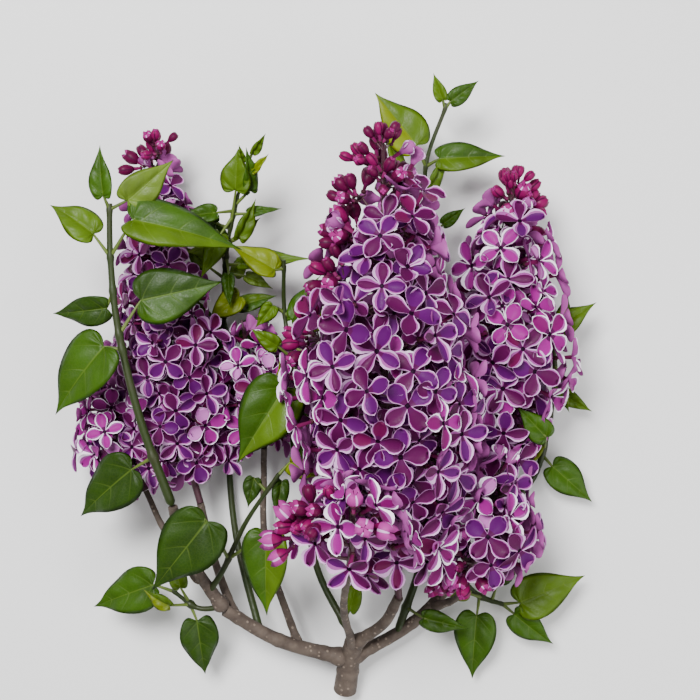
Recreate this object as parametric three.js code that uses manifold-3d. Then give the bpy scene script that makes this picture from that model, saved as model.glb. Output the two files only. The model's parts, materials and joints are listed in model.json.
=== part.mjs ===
// A cut flowering branch of lilac, lying on a level surface. Millimetres, +Z up.
// One woody stem forks into boughs. Each bough carries a panicle of florets or a leafy shoot.
// +Y runs from the cut end towards the flower tips.

import * as THREE from "three";
import { mergeVertices } from "three/addons/utils/BufferGeometryUtils.js";
import Module from "manifold-3d";

const wasm = await Module();
wasm.setup();

// ---------- driving dimensions ----------

const CLEARANCE = 0.35; // air between one solid and the next
const CLEAR_TEST = 0.4; // growth of a floret, bud or leaf while its place is tested
const GOLDEN_ANGLE = Math.PI * (3 - Math.sqrt(5));

const STEM_SIDES = 10; // the woody stem
const BOUGH_SIDES = 7;
const SHOOT_SIDES = 6;
const STALK_SIDES = 3; // leaf stalks

const FLORET = { span: 25, notch: 12.5, cup: 2, thick: 1.2, neck: 1.6 };
const BUD = { length: 6.5, radius: 2.6 };
const FLORET_SPACING = 21; // from one floret to the next over a panicle's surface
const BUD_SPACING = 9.5;

const CORE_SHARE = 0.76; // of the flower surface's radius, filled by the packed inner florets
const ROOT_BACK = 0.45; // of the surface's radius, from a floret back to where its twig starts
const STALK_FOOT = 2; // radius of a panicle's own stalk, where it meets its bough
const CORE_SIDES = 8;
const CORE_STEPS = 7;
const BASE_SHARE = 0.42; // panicle radius at its foot, of its widest radius
const TIP_SHARE = 0.22; // and at its tip
const TAPER = 1.25;
const FOOT_LEAN = THREE.MathUtils.degToRad(-14); // florets at the foot hang back a little
const TIP_LEAN = THREE.MathUtils.degToRad(74); // florets at the tip look along the panicle

const LEAF_THICK = 1.1;
const STALK_RADIUS = 0.75;

const COLOURS = {
  wood: { color: 0x4b4034, roughness: 0.85 },
  leaf: { color: 0x4f8a26, roughness: 0.5 },
  flower: { color: 0x8a2f86, roughness: 0.55 },
};

// Limbs: the points their middle line runs through, and the radius at each end.
const MAIN_STEM = {
  points: [[-2.4, -163.9, 5.7], [-0.5, -150, 12], [1.9, -137.9, 20]],
  radii: [5.6, 4.6],
};

const BOUGHS = {
  bough_front_tall: {
    points: [[1.6, -139, 19.5], [15.5, -126.5, 33], [22, -112.5, 44]],
    radii: [2.9, 2.3],
  },
  bough_front_small: {
    points: [[1.4, -140.5, 20], [-2.8, -116, 52], [-0.3, -93.5, 81]],
    radii: [1.9, 1.5],
  },
  bough_right: {
    points: [[0, -147, 15], [31, -129, 14], [56, -103, 11.5]],
    radii: [3.2, 2.5],
  },
  bough_right_rise: {
    points: [[56.3, -102.6, 11.5], [68.5, -79, 12.5], [72.4, -62, 16], [72.8, -53, 25]],
    radii: [2.5, 1.9],
  },
  bough_right_low: {
    points: [[39.5, -122.5, 13.6], [49, -116.5, 26], [53.4, -107.5, 37]],
    radii: [1.9, 1.5],
  },
  bough_left: {
    points: [[-1.5, -147, 14], [-33, -137, 21], [-58, -121, 30]],
    radii: [3.6, 2.9],
  },
  bough_left_rise: {
    points: [[-58.3, -120.7, 30.1], [-70, -101, 40], [-76.5, -84, 49], [-79, -70, 56]],
    radii: [2.9, 2.2],
  },
  bough_left_tall: {
    points: [[-53, -126, 28], [-64, -100, 18], [-70.2, -72, 24]],
    radii: [2.1, 1.7],
  },
  bough_left_inner: {
    points: [[-24, -141, 18], [-40, -95, 11], [-41, -58, 14], [-40.5, -46, 21]],
    radii: [1.9, 1.4],
  },
  bough_left_low: {
    points: [[-69, -107, 38], [-86, -85, 28], [-95.6, -66, 25]],
    radii: [1.7, 1.3],
  },
};

// Panicles: the bough that each goes on from, the bow and tip of its middle line, its widest radius,
// where along the line that lies, where the buds begin, and lobes that swell out at a place along
// and around the line.
const PANICLES = {
  panicle_front_tall: {
    bough: "bough_front_tall", bow: [13, -20, 88], tip: [14, 93, 86], radius: 37.5, belly: 0.44, buds: 0.8,
    lobes: [{ along: 0.53, around: 180, out: 8 }], seed: 11,
  },
  panicle_front_small: {
    bough: "bough_front_small", bow: [2, -76, 102], tip: [1, -57, 113], radius: 26, belly: 0.5, buds: 0.93,
    lobes: [{ along: 0.45, around: 185, out: 5 }], seed: 23,
  },
  panicle_right_tall: {
    bough: "bough_right_rise", bow: [71, 20, 31], tip: [75.5, 82, 31], radius: 26.5, belly: 0.42, buds: 0.84,
    lobes: [{ along: 0.42, around: 0, out: 6 }], seed: 37,
  },
  panicle_right_low: {
    bough: "bough_right_low", bow: [58, -80, 49], tip: [68, -50, 53], radius: 25, belly: 0.5, buds: 0.97,
    lobes: [{ along: 0.1, around: 180, out: 5 }], seed: 41,
  },
  panicle_left_tall: {
    bough: "bough_left_tall", bow: [-88, -10, 27], tip: [-89, 92, 30], radius: 24, belly: 0.34, buds: 0.9,
    lobes: [{ along: 0.36, around: 180, out: 3 }], seed: 53,
  },
  panicle_left_inner: {
    bough: "bough_left_inner", bow: [-44, -14, 25], tip: [-51, 14, 24], radius: 21.5, belly: 0.5, buds: 0.97,
    lobes: [], seed: 67,
  },
  panicle_left_low: {
    bough: "bough_left_low", bow: [-108, -44, 26], tip: [-118, -17, 27], radius: 18, belly: 0.5, buds: 0.97,
    lobes: [], seed: 71,
  },
};

// Leafy shoots. A leaf sits at a place along its shoot. Its stalk has a heading (degrees from +X),
// a length and a climb. Its blade has a heading, a length and a width, rises, is rolled about its
// midrib, folded up along it and curled down towards its tip.
const SHOOTS = {
  shoot_left_front: {
    points: [[-79.3, -69.2, 56.6], [-92.7, -31, 61], [-102, 9, 64], [-105, 39, 66], [-105, 64, 69]],
    radii: [2.2, 1.2],
    leaves: [
      { at: 0.83, stalk: [56, 19, 5], blade: [-10, 50, 25], rise: 3, roll: -24, fold: 24, curl: 26 },
      { at: 0.83, stalk: [125, 12, 3], blade: [140, 24, 17], rise: 6, roll: 20, fold: 22, curl: 30 },
      { at: 0.58, stalk: [57, 18, 1], blade: [12, 37, 25], rise: 2, roll: 0, fold: 7, curl: 8 },
      { at: 0.98, stalk: [25, 9, 2], blade: [39, 27, 17], rise: 8, roll: 24, fold: 16, curl: 18 },
      { at: 0.98, stalk: [110, 6, 4], blade: [96, 22, 12], rise: 12, roll: -16, fold: 24, curl: 16 },
      { at: 0.72, stalk: [-115, 8, -3], blade: [-172, 27, 15], rise: -8, roll: -20, fold: 16, curl: 20 },
      { at: 0.53, stalk: [170, 8, 1], blade: [-132, 40, 29], rise: -3, roll: 22, fold: 14, curl: 24 },
      { at: 0.17, stalk: [-150, 12, -6], blade: [-142, 38, 25], rise: -14, roll: 10, fold: 12, curl: 20 },
    ],
  },
  shoot_left_middle: {
    points: [
      [-42, -134, 22], [-55.5, -85, 8], [-59.6, -26, 6.5], [-60, 22, 13],
      [-57, 48, 30], [-51.4, 71, 38], [-45.5, 88, 45],
    ],
    radii: [1.9, 0.7],
    leaves: [
      { at: 0.86, stalk: [80, 15, 8], blade: [86, 19, 16], rise: 22, roll: -14, fold: 18, curl: 20 },
      { at: 0.9, stalk: [40, 9, 4], blade: [88, 21, 10], rise: 30, roll: 40, fold: 30, curl: 14 },
      { at: 0.99, stalk: [56, 4, 2], blade: [54, 12, 6], rise: 26, roll: 30, fold: 40, curl: -12 },
      { at: 0.97, stalk: [-12, 4, 2], blade: [42, 12, 6], rise: 22, roll: -20, fold: 40, curl: -14 },
      { at: 0.97, stalk: [100, 4, 2], blade: [104, 9, 4], rise: 30, roll: 0, fold: 40, curl: -12 },
      { at: 0.82, stalk: [16, 6, 7], blade: [64, 20, 11], rise: 14, roll: 30, fold: 36, curl: 8 },
      { at: 0.88, stalk: [2, 7, 3], blade: [7, 16, 6], rise: 8, roll: -24, fold: 24, curl: 6 },
      { at: 0.85, stalk: [160, 7, 2], blade: [155, 15, 10], rise: 6, roll: -20, fold: 18, curl: 20 },
      { at: 0.77, stalk: [2, 8, 6], blade: [7, 34, 12], rise: 10, roll: -34, fold: 26, curl: 10 },
      { at: 0.79, stalk: [140, 5, 5], blade: [-176, 15, 9], rise: 10, roll: 14, fold: 18, curl: 18 },
      { at: 0.7, stalk: [-10, 8, 8], blade: [-145, 19, 14], rise: 4, roll: 10, fold: 20, curl: 16 },
    ],
  },
  shoot_inner: {
    points: [
      [1.4, -136.4, 20.5], [-16.8, -101, 11], [-22.5, -50, 14],
      [-22.5, -24, 38], [-30, 14, 32], [-30.2, 41, 42],
    ],
    radii: [1.8, 0.9],
    leaves: [
      { at: 0.05, stalk: [62, 7, 8], blade: [76, 21, 9], rise: 14, roll: 10, fold: 20, curl: 12 },
      { at: 0.98, stalk: [-170, 4, 2], blade: [150, 24, 15], rise: 4, roll: 24, fold: 22, curl: 14 },
      { at: 0.87, stalk: [-40, 5, 3], blade: [66, 25, 11], rise: 10, roll: -44, fold: 30, curl: 24 },
      { at: 0.87, stalk: [150, 6, 3], blade: [-128, 13, 9], rise: 4, roll: 0, fold: 24, curl: 16 },
      { at: 0.68, stalk: [160, 6, 24], blade: [-123, 40, 31], rise: 0, roll: 4, fold: 26, curl: 12 },
      { at: 0.68, stalk: [172, 8, 16], blade: [84, 16, 8], rise: 26, roll: 30, fold: 34, curl: 20 },
    ],
  },
  shoot_top: {
    points: [
      [22.5, -134.5, 16], [36, -92, 8.5], [39, -24, 9],
      [38, 47, 15], [35.2, 84, 26], [44.8, 114, 34],
    ],
    radii: [2, 0.9],
    leaves: [
      { at: 0.05, stalk: [-20, 8, 12], blade: [-12, 22, 11], rise: 10, roll: 0, fold: 20, curl: 14 },
      { at: 0.88, stalk: [118, 10, 8], blade: [128, 31, 21], rise: 6, roll: 8, fold: 10, curl: 10 },
      { at: 0.88, stalk: [27, 7, 4], blade: [3, 31, 15], rise: 4, roll: -10, fold: 16, curl: 12 },
      { at: 0.85, stalk: [-60, 4, 4], blade: [58, 21, 9], rise: 12, roll: 40, fold: 30, curl: 30 },
      { at: 0.85, stalk: [158, 12, 5], blade: [112, 20, 8], rise: 8, roll: 20, fold: 24, curl: 10 },
      { at: 0.99, stalk: [50, 4, 2], blade: [36, 16, 9], rise: 10, roll: 10, fold: 20, curl: 16 },
      { at: 0.99, stalk: [110, 4, 2], blade: [112, 13, 7], rise: 14, roll: -10, fold: 24, curl: 12 },
      { at: 0.74, stalk: [51, 10, 4], blade: [37, 13, 7], rise: 6, roll: 0, fold: 20, curl: 12 },
    ],
  },
  shoot_right: {
    points: [[70, -80, 12], [88, -62, 7], [95, -40, 7], [98.5, -14, 8], [97, 6, 13]],
    radii: [1.8, 0.9],
    leaves: [
      { at: 0.95, stalk: [120, 7, 8], blade: [36, 27, 15], rise: 12, roll: -20, fold: 20, curl: 16 },
      { at: 0.78, stalk: [-70, 6, 4], blade: [-35, 18, 9], rise: 10, roll: 14, fold: 22, curl: 18 },
      { at: 0.44, stalk: [120, 8, 34], blade: [134, 20, 13], rise: 16, roll: 0, fold: 16, curl: 12 },
      { at: 0.4, stalk: [-50, 7, 3], blade: [-42, 26, 17], rise: 6, roll: -8, fold: 14, curl: 18 },
      { at: 0.98, stalk: [60, 4, 1], blade: [72, 20, 12], rise: 4, roll: 10, fold: 20, curl: 18 },
    ],
  },
  shoot_front_left: {
    points: [[-64.5, -111, 36], [-57.2, -99, 43], [-46.5, -77, 51], [-31.5, -55, 58]],
    radii: [1.5, 0.8],
    leaves: [
      { at: 0.97, stalk: [48, 9, 0], blade: [-30, 15, 12], rise: 4, roll: 20, fold: 20, curl: 16 },
      { at: 0.9, stalk: [20, 5, -3], blade: [-98, 18, 9], rise: 2, roll: -20, fold: 22, curl: 10 },
      { at: 0.85, stalk: [135, 8, -2], blade: [-104, 14, 9], rise: -4, roll: 0, fold: 16, curl: 10 },
      { at: 0.3, stalk: [35, 22, 12], blade: [-93, 38, 23], rise: 0, roll: 14, fold: 16, curl: 18 },
      { at: 0.3, stalk: [112, 21, 19], blade: [-128, 42, 29], rise: -5, roll: -6, fold: 10, curl: 14 },
    ],
  },
  shoot_low_left: {
    points: [[-59.6, -119.4, 31], [-71, -120, 29], [-83, -112, 28]],
    radii: [1.4, 0.9],
    leaves: [
      { at: 0.96, stalk: [160, 10, 2], blade: [-160, 34, 22], rise: -10, roll: 14, fold: 14, curl: 18 },
      { at: 0.6, stalk: [-70, 9, -2], blade: [-84, 30, 19], rise: -12, roll: -10, fold: 16, curl: 20 },
    ],
  },
  shoot_low_right: {
    points: [[53, -109.5, 9.5], [62, -118, 9], [74, -122, 11]],
    radii: [1.5, 0.9],
    leaves: [
      { at: 0.5, stalk: [-100, 9, 3], blade: [-96, 32, 21], rise: 0, roll: 10, fold: 14, curl: 18 },
      { at: 0.96, stalk: [10, 8, 3], blade: [24, 34, 22], rise: 10, roll: -8, fold: 14, curl: 22 },
      { at: 0.96, stalk: [-40, 7, 2], blade: [-40, 24, 15], rise: 4, roll: 8, fold: 18, curl: 16 },
    ],
  },
};

// ---------- small helpers ----------

const vector = ([x, y, z]) => new THREE.Vector3(x, y, z);
const radians = THREE.MathUtils.degToRad;
const mix = THREE.MathUtils.lerp;
const UP = new THREE.Vector3(0, 0, 1);

// A seeded generator of even random numbers from 0 to 1.
function seeded(seed) {
  let state = seed >>> 0;
  return () => {
    state = (state + 0x6d2b79f5) >>> 0;
    let word = Math.imul(state ^ (state >>> 15), state | 1);
    word ^= word + Math.imul(word ^ (word >>> 7), word | 61);
    return ((word ^ (word >>> 14)) >>> 0) / 4294967296;
  };
}

// The direction of a curve at a place along it, with the sideways and upward directions across it.
function frameAt(curve, along) {
  const forward = curve.getTangentAt(along);
  const side = new THREE.Vector3().crossVectors(forward, UP).normalize();
  const lift = new THREE.Vector3().crossVectors(side, forward);
  return { point: curve.getPointAt(along), forward, side, lift };
}

const route = (points) => new THREE.CatmullRomCurve3(points.map(vector), false, "catmullrom", 0.5);

// ---------- solids ----------

function solidOf(geometry) {
  geometry.deleteAttribute("normal");
  geometry.deleteAttribute("uv");
  const closed = mergeVertices(geometry, 1e-5);
  const vertProperties = Float32Array.from(closed.attributes.position.array);
  const triVerts = Uint32Array.from(closed.index.array);
  return new wasm.Manifold(new wasm.Mesh({ numProp: 3, vertProperties, triVerts }));
}

function solidFromFaces(points, faces) {
  const geometry = new THREE.BufferGeometry().setFromPoints(points);
  geometry.setIndex(faces.flat());
  return solidOf(geometry);
}

// A straight cylinder bent along a curve, with its radius at each place given by a function.
function bentSolid(curve, sides, steps, radiusAt) {
  const geometry = new THREE.CylinderGeometry(1, 1, 1, sides, steps);
  const place = geometry.attributes.position;
  for (let k = 0; k < place.count; k++) {
    const along = THREE.MathUtils.clamp(place.getY(k) + 0.5, 0, 1);
    const { point, side, lift } = frameAt(curve, along);
    const radius = radiusAt(along);
    point.addScaledVector(side, place.getX(k) * radius).addScaledVector(lift, place.getZ(k) * radius);
    place.setXYZ(k, point.x, point.y, point.z);
  }
  return solidOf(geometry);
}

function limbSolid({ points, radii }, sides, grow = 0) {
  const steps = Math.max(1, 2 * (points.length - 1));
  return bentSolid(route(points), sides, steps, (along) => mix(radii[0], radii[1], along) + grow);
}

// Every limb and shoot stem so far, grown by the clearance.
const grownLimbs = [];

// A limb is cut clear of the ones made before it, at the foot where it springs from them.
function sprungLimb(limb, sides) {
  const body = wasm.Manifold.difference([limbSolid(limb, sides), ...grownLimbs]);
  grownLimbs.push(limbSolid(limb, sides, CLEARANCE));
  return joined([body]);
}

// The joined bodies as one solid: loose scraps go, and a sealed hollow is filled.
function joined(bodies) {
  const pieces = wasm.Manifold.union(bodies).decompose();
  return pieces.reduce((largest, piece) => (piece.volume() > largest.volume() ? piece : largest));
}

function boxesMeet(a, b) {
  return [0, 1, 2].every((axis) => a.min[axis] <= b.max[axis] && b.min[axis] <= a.max[axis]);
}

const isClear = (body, others) => {
  const box = body.boundingBox();
  return others.every((other) => !boxesMeet(box, other.box) || body.intersect(other.solid).isEmpty());
};

// ---------- florets and buds ----------

// A four-petalled floret: a thin star on a tapering tube that ends at its root in the panicle.
function floretSolid({ point, outward, across, upright, root }, grow = 0) {
  const spot = (angle, radius, height) =>
    point
      .clone()
      .addScaledVector(across, radius * Math.cos(angle))
      .addScaledVector(upright, radius * Math.sin(angle))
      .addScaledVector(outward, height);
  const points = [];
  for (let k = 0; k < 4; k++) {
    const petal = (k * Math.PI) / 2;
    points.push(spot(petal, FLORET.span / 2 + grow, FLORET.cup));
    points.push(spot(petal + Math.PI / 4, FLORET.notch / 2 + grow, 0));
  }
  for (let k = 0; k < 4; k++) {
    points.push(spot((k + 0.5) * (Math.PI / 2), FLORET.neck + grow, -FLORET.thick - grow));
  }
  points.push(spot(0, 0, grow), root);
  const [throat, base] = [12, 13];
  const faces = [];
  for (let k = 0; k < 4; k++) {
    const [tip, notch, next] = [2 * k, 2 * k + 1, (2 * k + 2) % 8];
    const [neck, before] = [8 + k, 8 + ((k + 3) % 4)];
    faces.push([throat, tip, notch], [throat, notch, next]);
    faces.push([tip, neck, notch], [tip, before, neck], [notch, neck, next]);
    faces.push([before, base, neck]);
  }
  return solidFromFaces(points, faces);
}

// A closed bud on its stalk: a long double cone of four sides.
function budSolid({ point, outward, across, upright, root }, grow = 0) {
  const points = [root, point.clone().addScaledVector(outward, BUD.length / 2 + grow)];
  for (let k = 0; k < 4; k++) {
    const angle = (k * Math.PI) / 2;
    const rim = point.clone().addScaledVector(across, (BUD.radius + grow) * Math.cos(angle));
    points.push(rim.addScaledVector(upright, (BUD.radius + grow) * Math.sin(angle)));
  }
  const faces = [];
  for (let k = 0; k < 4; k++) {
    const [rim, next] = [2 + k, 2 + ((k + 1) % 4)];
    faces.push([1, rim, next], [0, next, rim]);
  }
  return solidFromFaces(points, faces);
}

// ---------- panicles ----------

// The radius of a panicle's flower surface at a place along and around its middle line.
function surfaceRadius(panicle, along, around) {
  const { radius, belly, lobes } = panicle;
  const swell =
    along < belly
      ? mix(BASE_SHARE, 1, Math.sin(((Math.PI / 2) * along) / belly))
      : 1 - (1 - TIP_SHARE) * ((along - belly) / (1 - belly)) ** TAPER;
  const bulge = lobes.map((lobe) => {
    const near = Math.exp(-(((along - lobe.along) / 0.12) ** 2));
    return lobe.out * near * Math.max(0, Math.cos(around - radians(lobe.around))) ** 2;
  });
  return radius * swell + bulge.reduce((sum, out) => sum + out, 0);
}

// Sites spread evenly over a panicle's surface on a golden-angle spiral.
function surfaceSites(panicle, curve, spacing, from, to) {
  const random = seeded(panicle.seed);
  const STEPS = 80;
  const length = curve.getLength();
  const area = [0];
  for (let k = 1; k <= STEPS; k++) {
    const along = mix(from, to, (k - 0.5) / STEPS);
    const ring = 2 * Math.PI * surfaceRadius(panicle, along, Math.PI / 2);
    area.push(area[k - 1] + (ring * length * (to - from)) / STEPS);
  }
  const count = Math.round(area[STEPS] / spacing ** 2);
  const sites = [];
  for (let n = 0; n < count; n++) {
    const target = ((n + 0.5) / count) * area[STEPS];
    const k = area.findIndex((sum) => sum >= target);
    const along = mix(from, to, (k - (area[k] - target) / (area[k] - area[k - 1])) / STEPS);
    const around = n * GOLDEN_ANGLE + 0.25 * (random() - 0.5);
    sites.push({ along, around, spin: random() * Math.PI, tilt: random() - 0.5 });
  }
  return sites;
}

// Where a floret or bud sits, which way it looks, and where its twig leaves the middle line.
function sitePose(panicle, curve, { along, around, spin, tilt }) {
  const { point, forward, side, lift } = frameAt(curve, along);
  const radial = side.multiplyScalar(Math.cos(around)).addScaledVector(lift, Math.sin(around));
  const radius = surfaceRadius(panicle, along, around);
  const lean = mix(FOOT_LEAN, TIP_LEAN, along ** 1.6) + 0.3 * tilt;
  const outward = radial.clone().multiplyScalar(Math.cos(lean)).addScaledVector(forward, Math.sin(lean));
  const tangent = new THREE.Vector3().crossVectors(forward, radial);
  const across = tangent.applyAxisAngle(outward, spin);
  const upright = new THREE.Vector3().crossVectors(outward, across);
  const root = curve.getPointAt(Math.max(0.04, along - (ROOT_BACK * radius) / curve.getLength()));
  return { point: point.addScaledVector(radial, radius), outward, across, upright, root };
}

// A panicle's middle line goes on from its bough's tip, a clearance away.
function middleLine({ bough, bow, tip }) {
  const end = frameAt(route(BOUGHS[bough].points), 1);
  const foot = end.point.addScaledVector(end.forward, CLEARANCE);
  return new THREE.QuadraticBezierCurve3(foot, vector(bow), vector(tip));
}

// The inner florets of a panicle, packed into one smooth core on its stalk.
function coreSolid(panicle, grow = 0) {
  const share = (along) => CORE_SHARE * surfaceRadius(panicle, along, Math.PI / 2);
  const radiusAt = (along) => (along === 0 ? STALK_FOOT : share(along)) + grow;
  return bentSolid(middleLine(panicle), CORE_SIDES, CORE_STEPS, radiusAt);
}

function panicleSolid(panicle, others, laterCores) {
  const curve = middleLine(panicle);
  const bodies = [coreSolid(panicle)];
  for (const site of surfaceSites(panicle, curve, FLORET_SPACING, 0, panicle.buds)) {
    const pose = sitePose(panicle, curve, site);
    if (isClear(floretSolid(pose, CLEAR_TEST), others)) bodies.push(floretSolid(pose));
  }
  for (const site of surfaceSites(panicle, curve, BUD_SPACING, panicle.buds, 1)) {
    const pose = sitePose(panicle, curve, site);
    if (isClear(budSolid(pose, CLEAR_TEST), others)) bodies.push(budSolid(pose));
  }
  return joined([wasm.Manifold.difference([wasm.Manifold.union(bodies), ...grownLimbs, ...laterCores])]);
}

// ---------- leaves and shoots ----------

// Half the width of a heart-shaped blade at a place along its midrib, as a share of the widest.
const bladeShare = (along) => 2.545 * Math.sqrt(along) * (1 - along) ** 0.95;

// Directions of a blade: along its midrib, across it and up out of its face.
function bladeFrame({ blade: [heading], rise, roll }) {
  const [turn, climb] = [radians(heading), radians(rise)];
  const flat = Math.cos(climb);
  const along = vector([flat * Math.cos(turn), flat * Math.sin(turn), Math.sin(climb)]);
  const left = vector([-Math.sin(turn), Math.cos(turn), 0]).applyAxisAngle(along, radians(roll));
  return { along, left, face: new THREE.Vector3().crossVectors(along, left) };
}

// A thin blade with two points on its midrib above and two below, inside an outline of eight.
function bladeSolid(root, leaf, grow = 0) {
  const { along, left, face } = bladeFrame(leaf);
  const [, length, width] = leaf.blade;
  const [curl, fold] = [radians(leaf.curl), radians(leaf.fold)];
  const spot = (share, sideways, height) => {
    const bend = curl * share;
    const reach = curl === 0 ? share * length : (length * Math.sin(bend)) / curl;
    const drop = curl === 0 ? 0 : (length * (1 - Math.cos(bend))) / curl;
    const half = Math.sign(sideways) * ((bladeShare(share) * width) / 2 + grow);
    return root
      .clone()
      .addScaledVector(along, reach)
      .addScaledVector(face, height - drop + Math.abs(half) * Math.sin(fold))
      .addScaledVector(left, half * Math.cos(fold));
  };
  const stations = [0.1, 0.36, 0.7];
  const points = [spot(0, 0, 0), ...stations.map((share) => spot(share, 1, 0)), spot(1, 0, 0)];
  points.push(...stations.map((share) => spot(share, -1, 0)).reverse());
  const rise = LEAF_THICK / 2 + grow;
  points.push(spot(0.22, 0, rise), spot(0.58, 0, rise), spot(0.22, 0, -rise), spot(0.58, 0, -rise));
  const faces = [];
  for (const [near, far, under] of [[8, 9, false], [10, 11, true]]) {
    const side = [[near, 1, 0], [near, 2, 1], [near, far, 2], [far, 3, 2], [far, 4, 3]];
    const other = [[near, 0, 7], [near, 7, 6], [near, 6, far], [far, 6, 5], [far, 5, 4]];
    for (const [a, b, c] of [...side, ...other]) faces.push(under ? [a, c, b] : [a, b, c]);
  }
  return solidFromFaces(points, faces);
}

function leafSolid(curve, leaf, grow = 0) {
  const [heading, length, climb] = leaf.stalk;
  const attach = curve.getPointAt(leaf.at);
  const step = [length * Math.cos(radians(heading)), length * Math.sin(radians(heading)), climb];
  const root = attach.clone().add(vector(step));
  const { along } = bladeFrame(leaf);
  const inside = root.clone().addScaledVector(along, 0.2 * leaf.blade[1]);
  const stalkCurve = new THREE.CatmullRomCurve3([attach, root, inside], false, "catmullrom", 0.5);
  const stalk = bentSolid(stalkCurve, STALK_SIDES, 2, (share) => STALK_RADIUS * mix(1, 0.7, share) + grow);
  return [stalk, bladeSolid(root, leaf, grow)];
}

function shootSolid({ points, radii, leaves }, stem, others) {
  const curve = route(points);
  const bodies = [stem];
  for (const leaf of leaves) {
    const free = leafSolid(curve, leaf, CLEAR_TEST).every((body) => isClear(body, others));
    if (free) bodies.push(...leafSolid(curve, leaf));
  }
  return joined(bodies);
}

// ---------- the branch ----------

const nodes = {};

const withBox = (solid) => ({ solid, box: solid.boundingBox() });

function keep(name, solid, look) {
  nodes[name] = { ...withBox(solid), look };
}

keep("main_stem", sprungLimb(MAIN_STEM, STEM_SIDES), "wood");
for (const [name, bough] of Object.entries(BOUGHS)) keep(name, sprungLimb(bough, BOUGH_SIDES), "wood");

// What a leaf, floret or bud has to clear: the nodes made so far, and the shoot stems and panicle
// cores of the nodes still to come.
const toCome = {};
for (const [name, shoot] of Object.entries(SHOOTS)) {
  toCome[name] = withBox(sprungLimb(shoot, SHOOT_SIDES));
}
for (const [name, panicle] of Object.entries(PANICLES)) {
  toCome[name] = withBox(coreSolid(panicle, CLEARANCE));
}

for (const [name, shoot] of Object.entries(SHOOTS)) {
  const stem = toCome[name].solid;
  delete toCome[name];
  keep(name, shootSolid(shoot, stem, [...Object.values(nodes), ...Object.values(toCome)]), "leaf");
}

for (const [name, panicle] of Object.entries(PANICLES)) {
  delete toCome[name];
  const laterCores = Object.values(toCome);
  const others = [...Object.values(nodes), ...laterCores];
  keep(name, panicleSolid(panicle, others, laterCores.map((core) => core.solid)), "flower");
}

function meshOf(name, { solid, look }) {
  const { vertProperties, triVerts } = solid.getMesh();
  const geometry = new THREE.BufferGeometry();
  geometry.setAttribute("position", new THREE.BufferAttribute(Float32Array.from(vertProperties), 3));
  geometry.setIndex(new THREE.BufferAttribute(Uint32Array.from(triVerts), 1));
  geometry.computeVertexNormals();
  const material = new THREE.MeshStandardMaterial({ ...COLOURS[look], metalness: 0, flatShading: true });
  const mesh = new THREE.Mesh(geometry, material);
  mesh.name = name;
  return mesh;
}

const branch = new THREE.Group();
for (const [name, node] of Object.entries(nodes)) branch.add(meshOf(name, node));

// The origin lies under the middle of the branch, on the surface it rests on.
const extent = new THREE.Box3().setFromObject(branch);
const middle = extent.getCenter(new THREE.Vector3());
branch.position.set(-middle.x, -middle.y, -extent.min.z);

export default branch;
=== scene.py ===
"""Grows the fine model of a cut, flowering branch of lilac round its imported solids.

Every woody limb gets a skin of bark. Every panicle is grown again as a stalk with side twigs,
florets and buds, and every shoot as a green stem with leaf stalks and heart-shaped leaves. The
branch's own measures are in millimetres, as its solids' are, and become metres as a mesh is made.
"""

import json
import math
from collections import namedtuple
from dataclasses import dataclass
from functools import cache

import bmesh
import bpy
import numpy as np
from bpy.props import FloatProperty, FloatVectorProperty, IntProperty, PointerProperty
from mathutils import Matrix, Vector
from mathutils.kdtree import KDTree


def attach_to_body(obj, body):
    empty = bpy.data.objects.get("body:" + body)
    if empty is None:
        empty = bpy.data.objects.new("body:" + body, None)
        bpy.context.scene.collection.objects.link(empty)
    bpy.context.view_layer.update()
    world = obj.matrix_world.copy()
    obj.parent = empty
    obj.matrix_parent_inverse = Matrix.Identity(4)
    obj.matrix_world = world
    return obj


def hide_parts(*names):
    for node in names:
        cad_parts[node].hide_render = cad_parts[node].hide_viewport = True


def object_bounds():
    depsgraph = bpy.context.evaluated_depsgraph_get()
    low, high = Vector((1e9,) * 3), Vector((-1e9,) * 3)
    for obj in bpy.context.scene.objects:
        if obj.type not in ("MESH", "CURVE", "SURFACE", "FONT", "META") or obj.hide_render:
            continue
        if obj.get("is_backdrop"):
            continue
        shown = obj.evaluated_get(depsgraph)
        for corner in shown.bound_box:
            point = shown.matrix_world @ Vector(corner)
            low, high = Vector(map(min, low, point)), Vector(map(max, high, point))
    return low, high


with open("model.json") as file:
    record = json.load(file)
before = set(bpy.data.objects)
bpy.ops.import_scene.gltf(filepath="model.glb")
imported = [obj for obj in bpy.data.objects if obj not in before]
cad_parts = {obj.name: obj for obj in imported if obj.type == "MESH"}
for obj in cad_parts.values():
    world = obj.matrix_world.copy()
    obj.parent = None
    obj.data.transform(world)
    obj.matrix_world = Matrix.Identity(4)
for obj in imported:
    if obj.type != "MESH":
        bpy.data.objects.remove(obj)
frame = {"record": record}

bl_info = {
    "name": "Flowering Lilac Branch",
    "version": (1, 0, 0),
    "blender": (4, 5, 0),
    "location": "3D View > Sidebar > Lilac",
    "description": "Grows the bark, florets, buds and leaves of a cut lilac branch",
    "category": "Add Mesh",
}

MM = 0.001
GOLDEN_ANGLE = math.pi * (3 - math.sqrt(5))
WORD = 0xFFFFFFFF  # the highest number that the random generator counts to
BAKE_MAP = "OFBake"  # a map with a place of its own for every face
BLADE_MAP = "blade"  # along a leaf's side veins and out from its midrib

# ---------- lines ----------


def seeded(seed):
    """A seeded generator of even random numbers from 0 to 1."""
    state = seed

    def draw():
        nonlocal state
        state = (state + 0x6D2B79F5) & WORD
        word = ((state ^ (state >> 15)) * (state | 1)) & WORD
        word ^= (word + (((word ^ (word >> 7)) * (word | 61)) & WORD)) & WORD
        return ((word ^ (word >> 14)) & WORD) / (WORD + 1)

    return draw


def mix(a, b, part):
    return a + (b - a) * part


def hump(away, reach):
    """1 in the middle of a hump, and next to nothing past twice its reach."""
    return math.exp(-((away / reach) ** 2))


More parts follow.
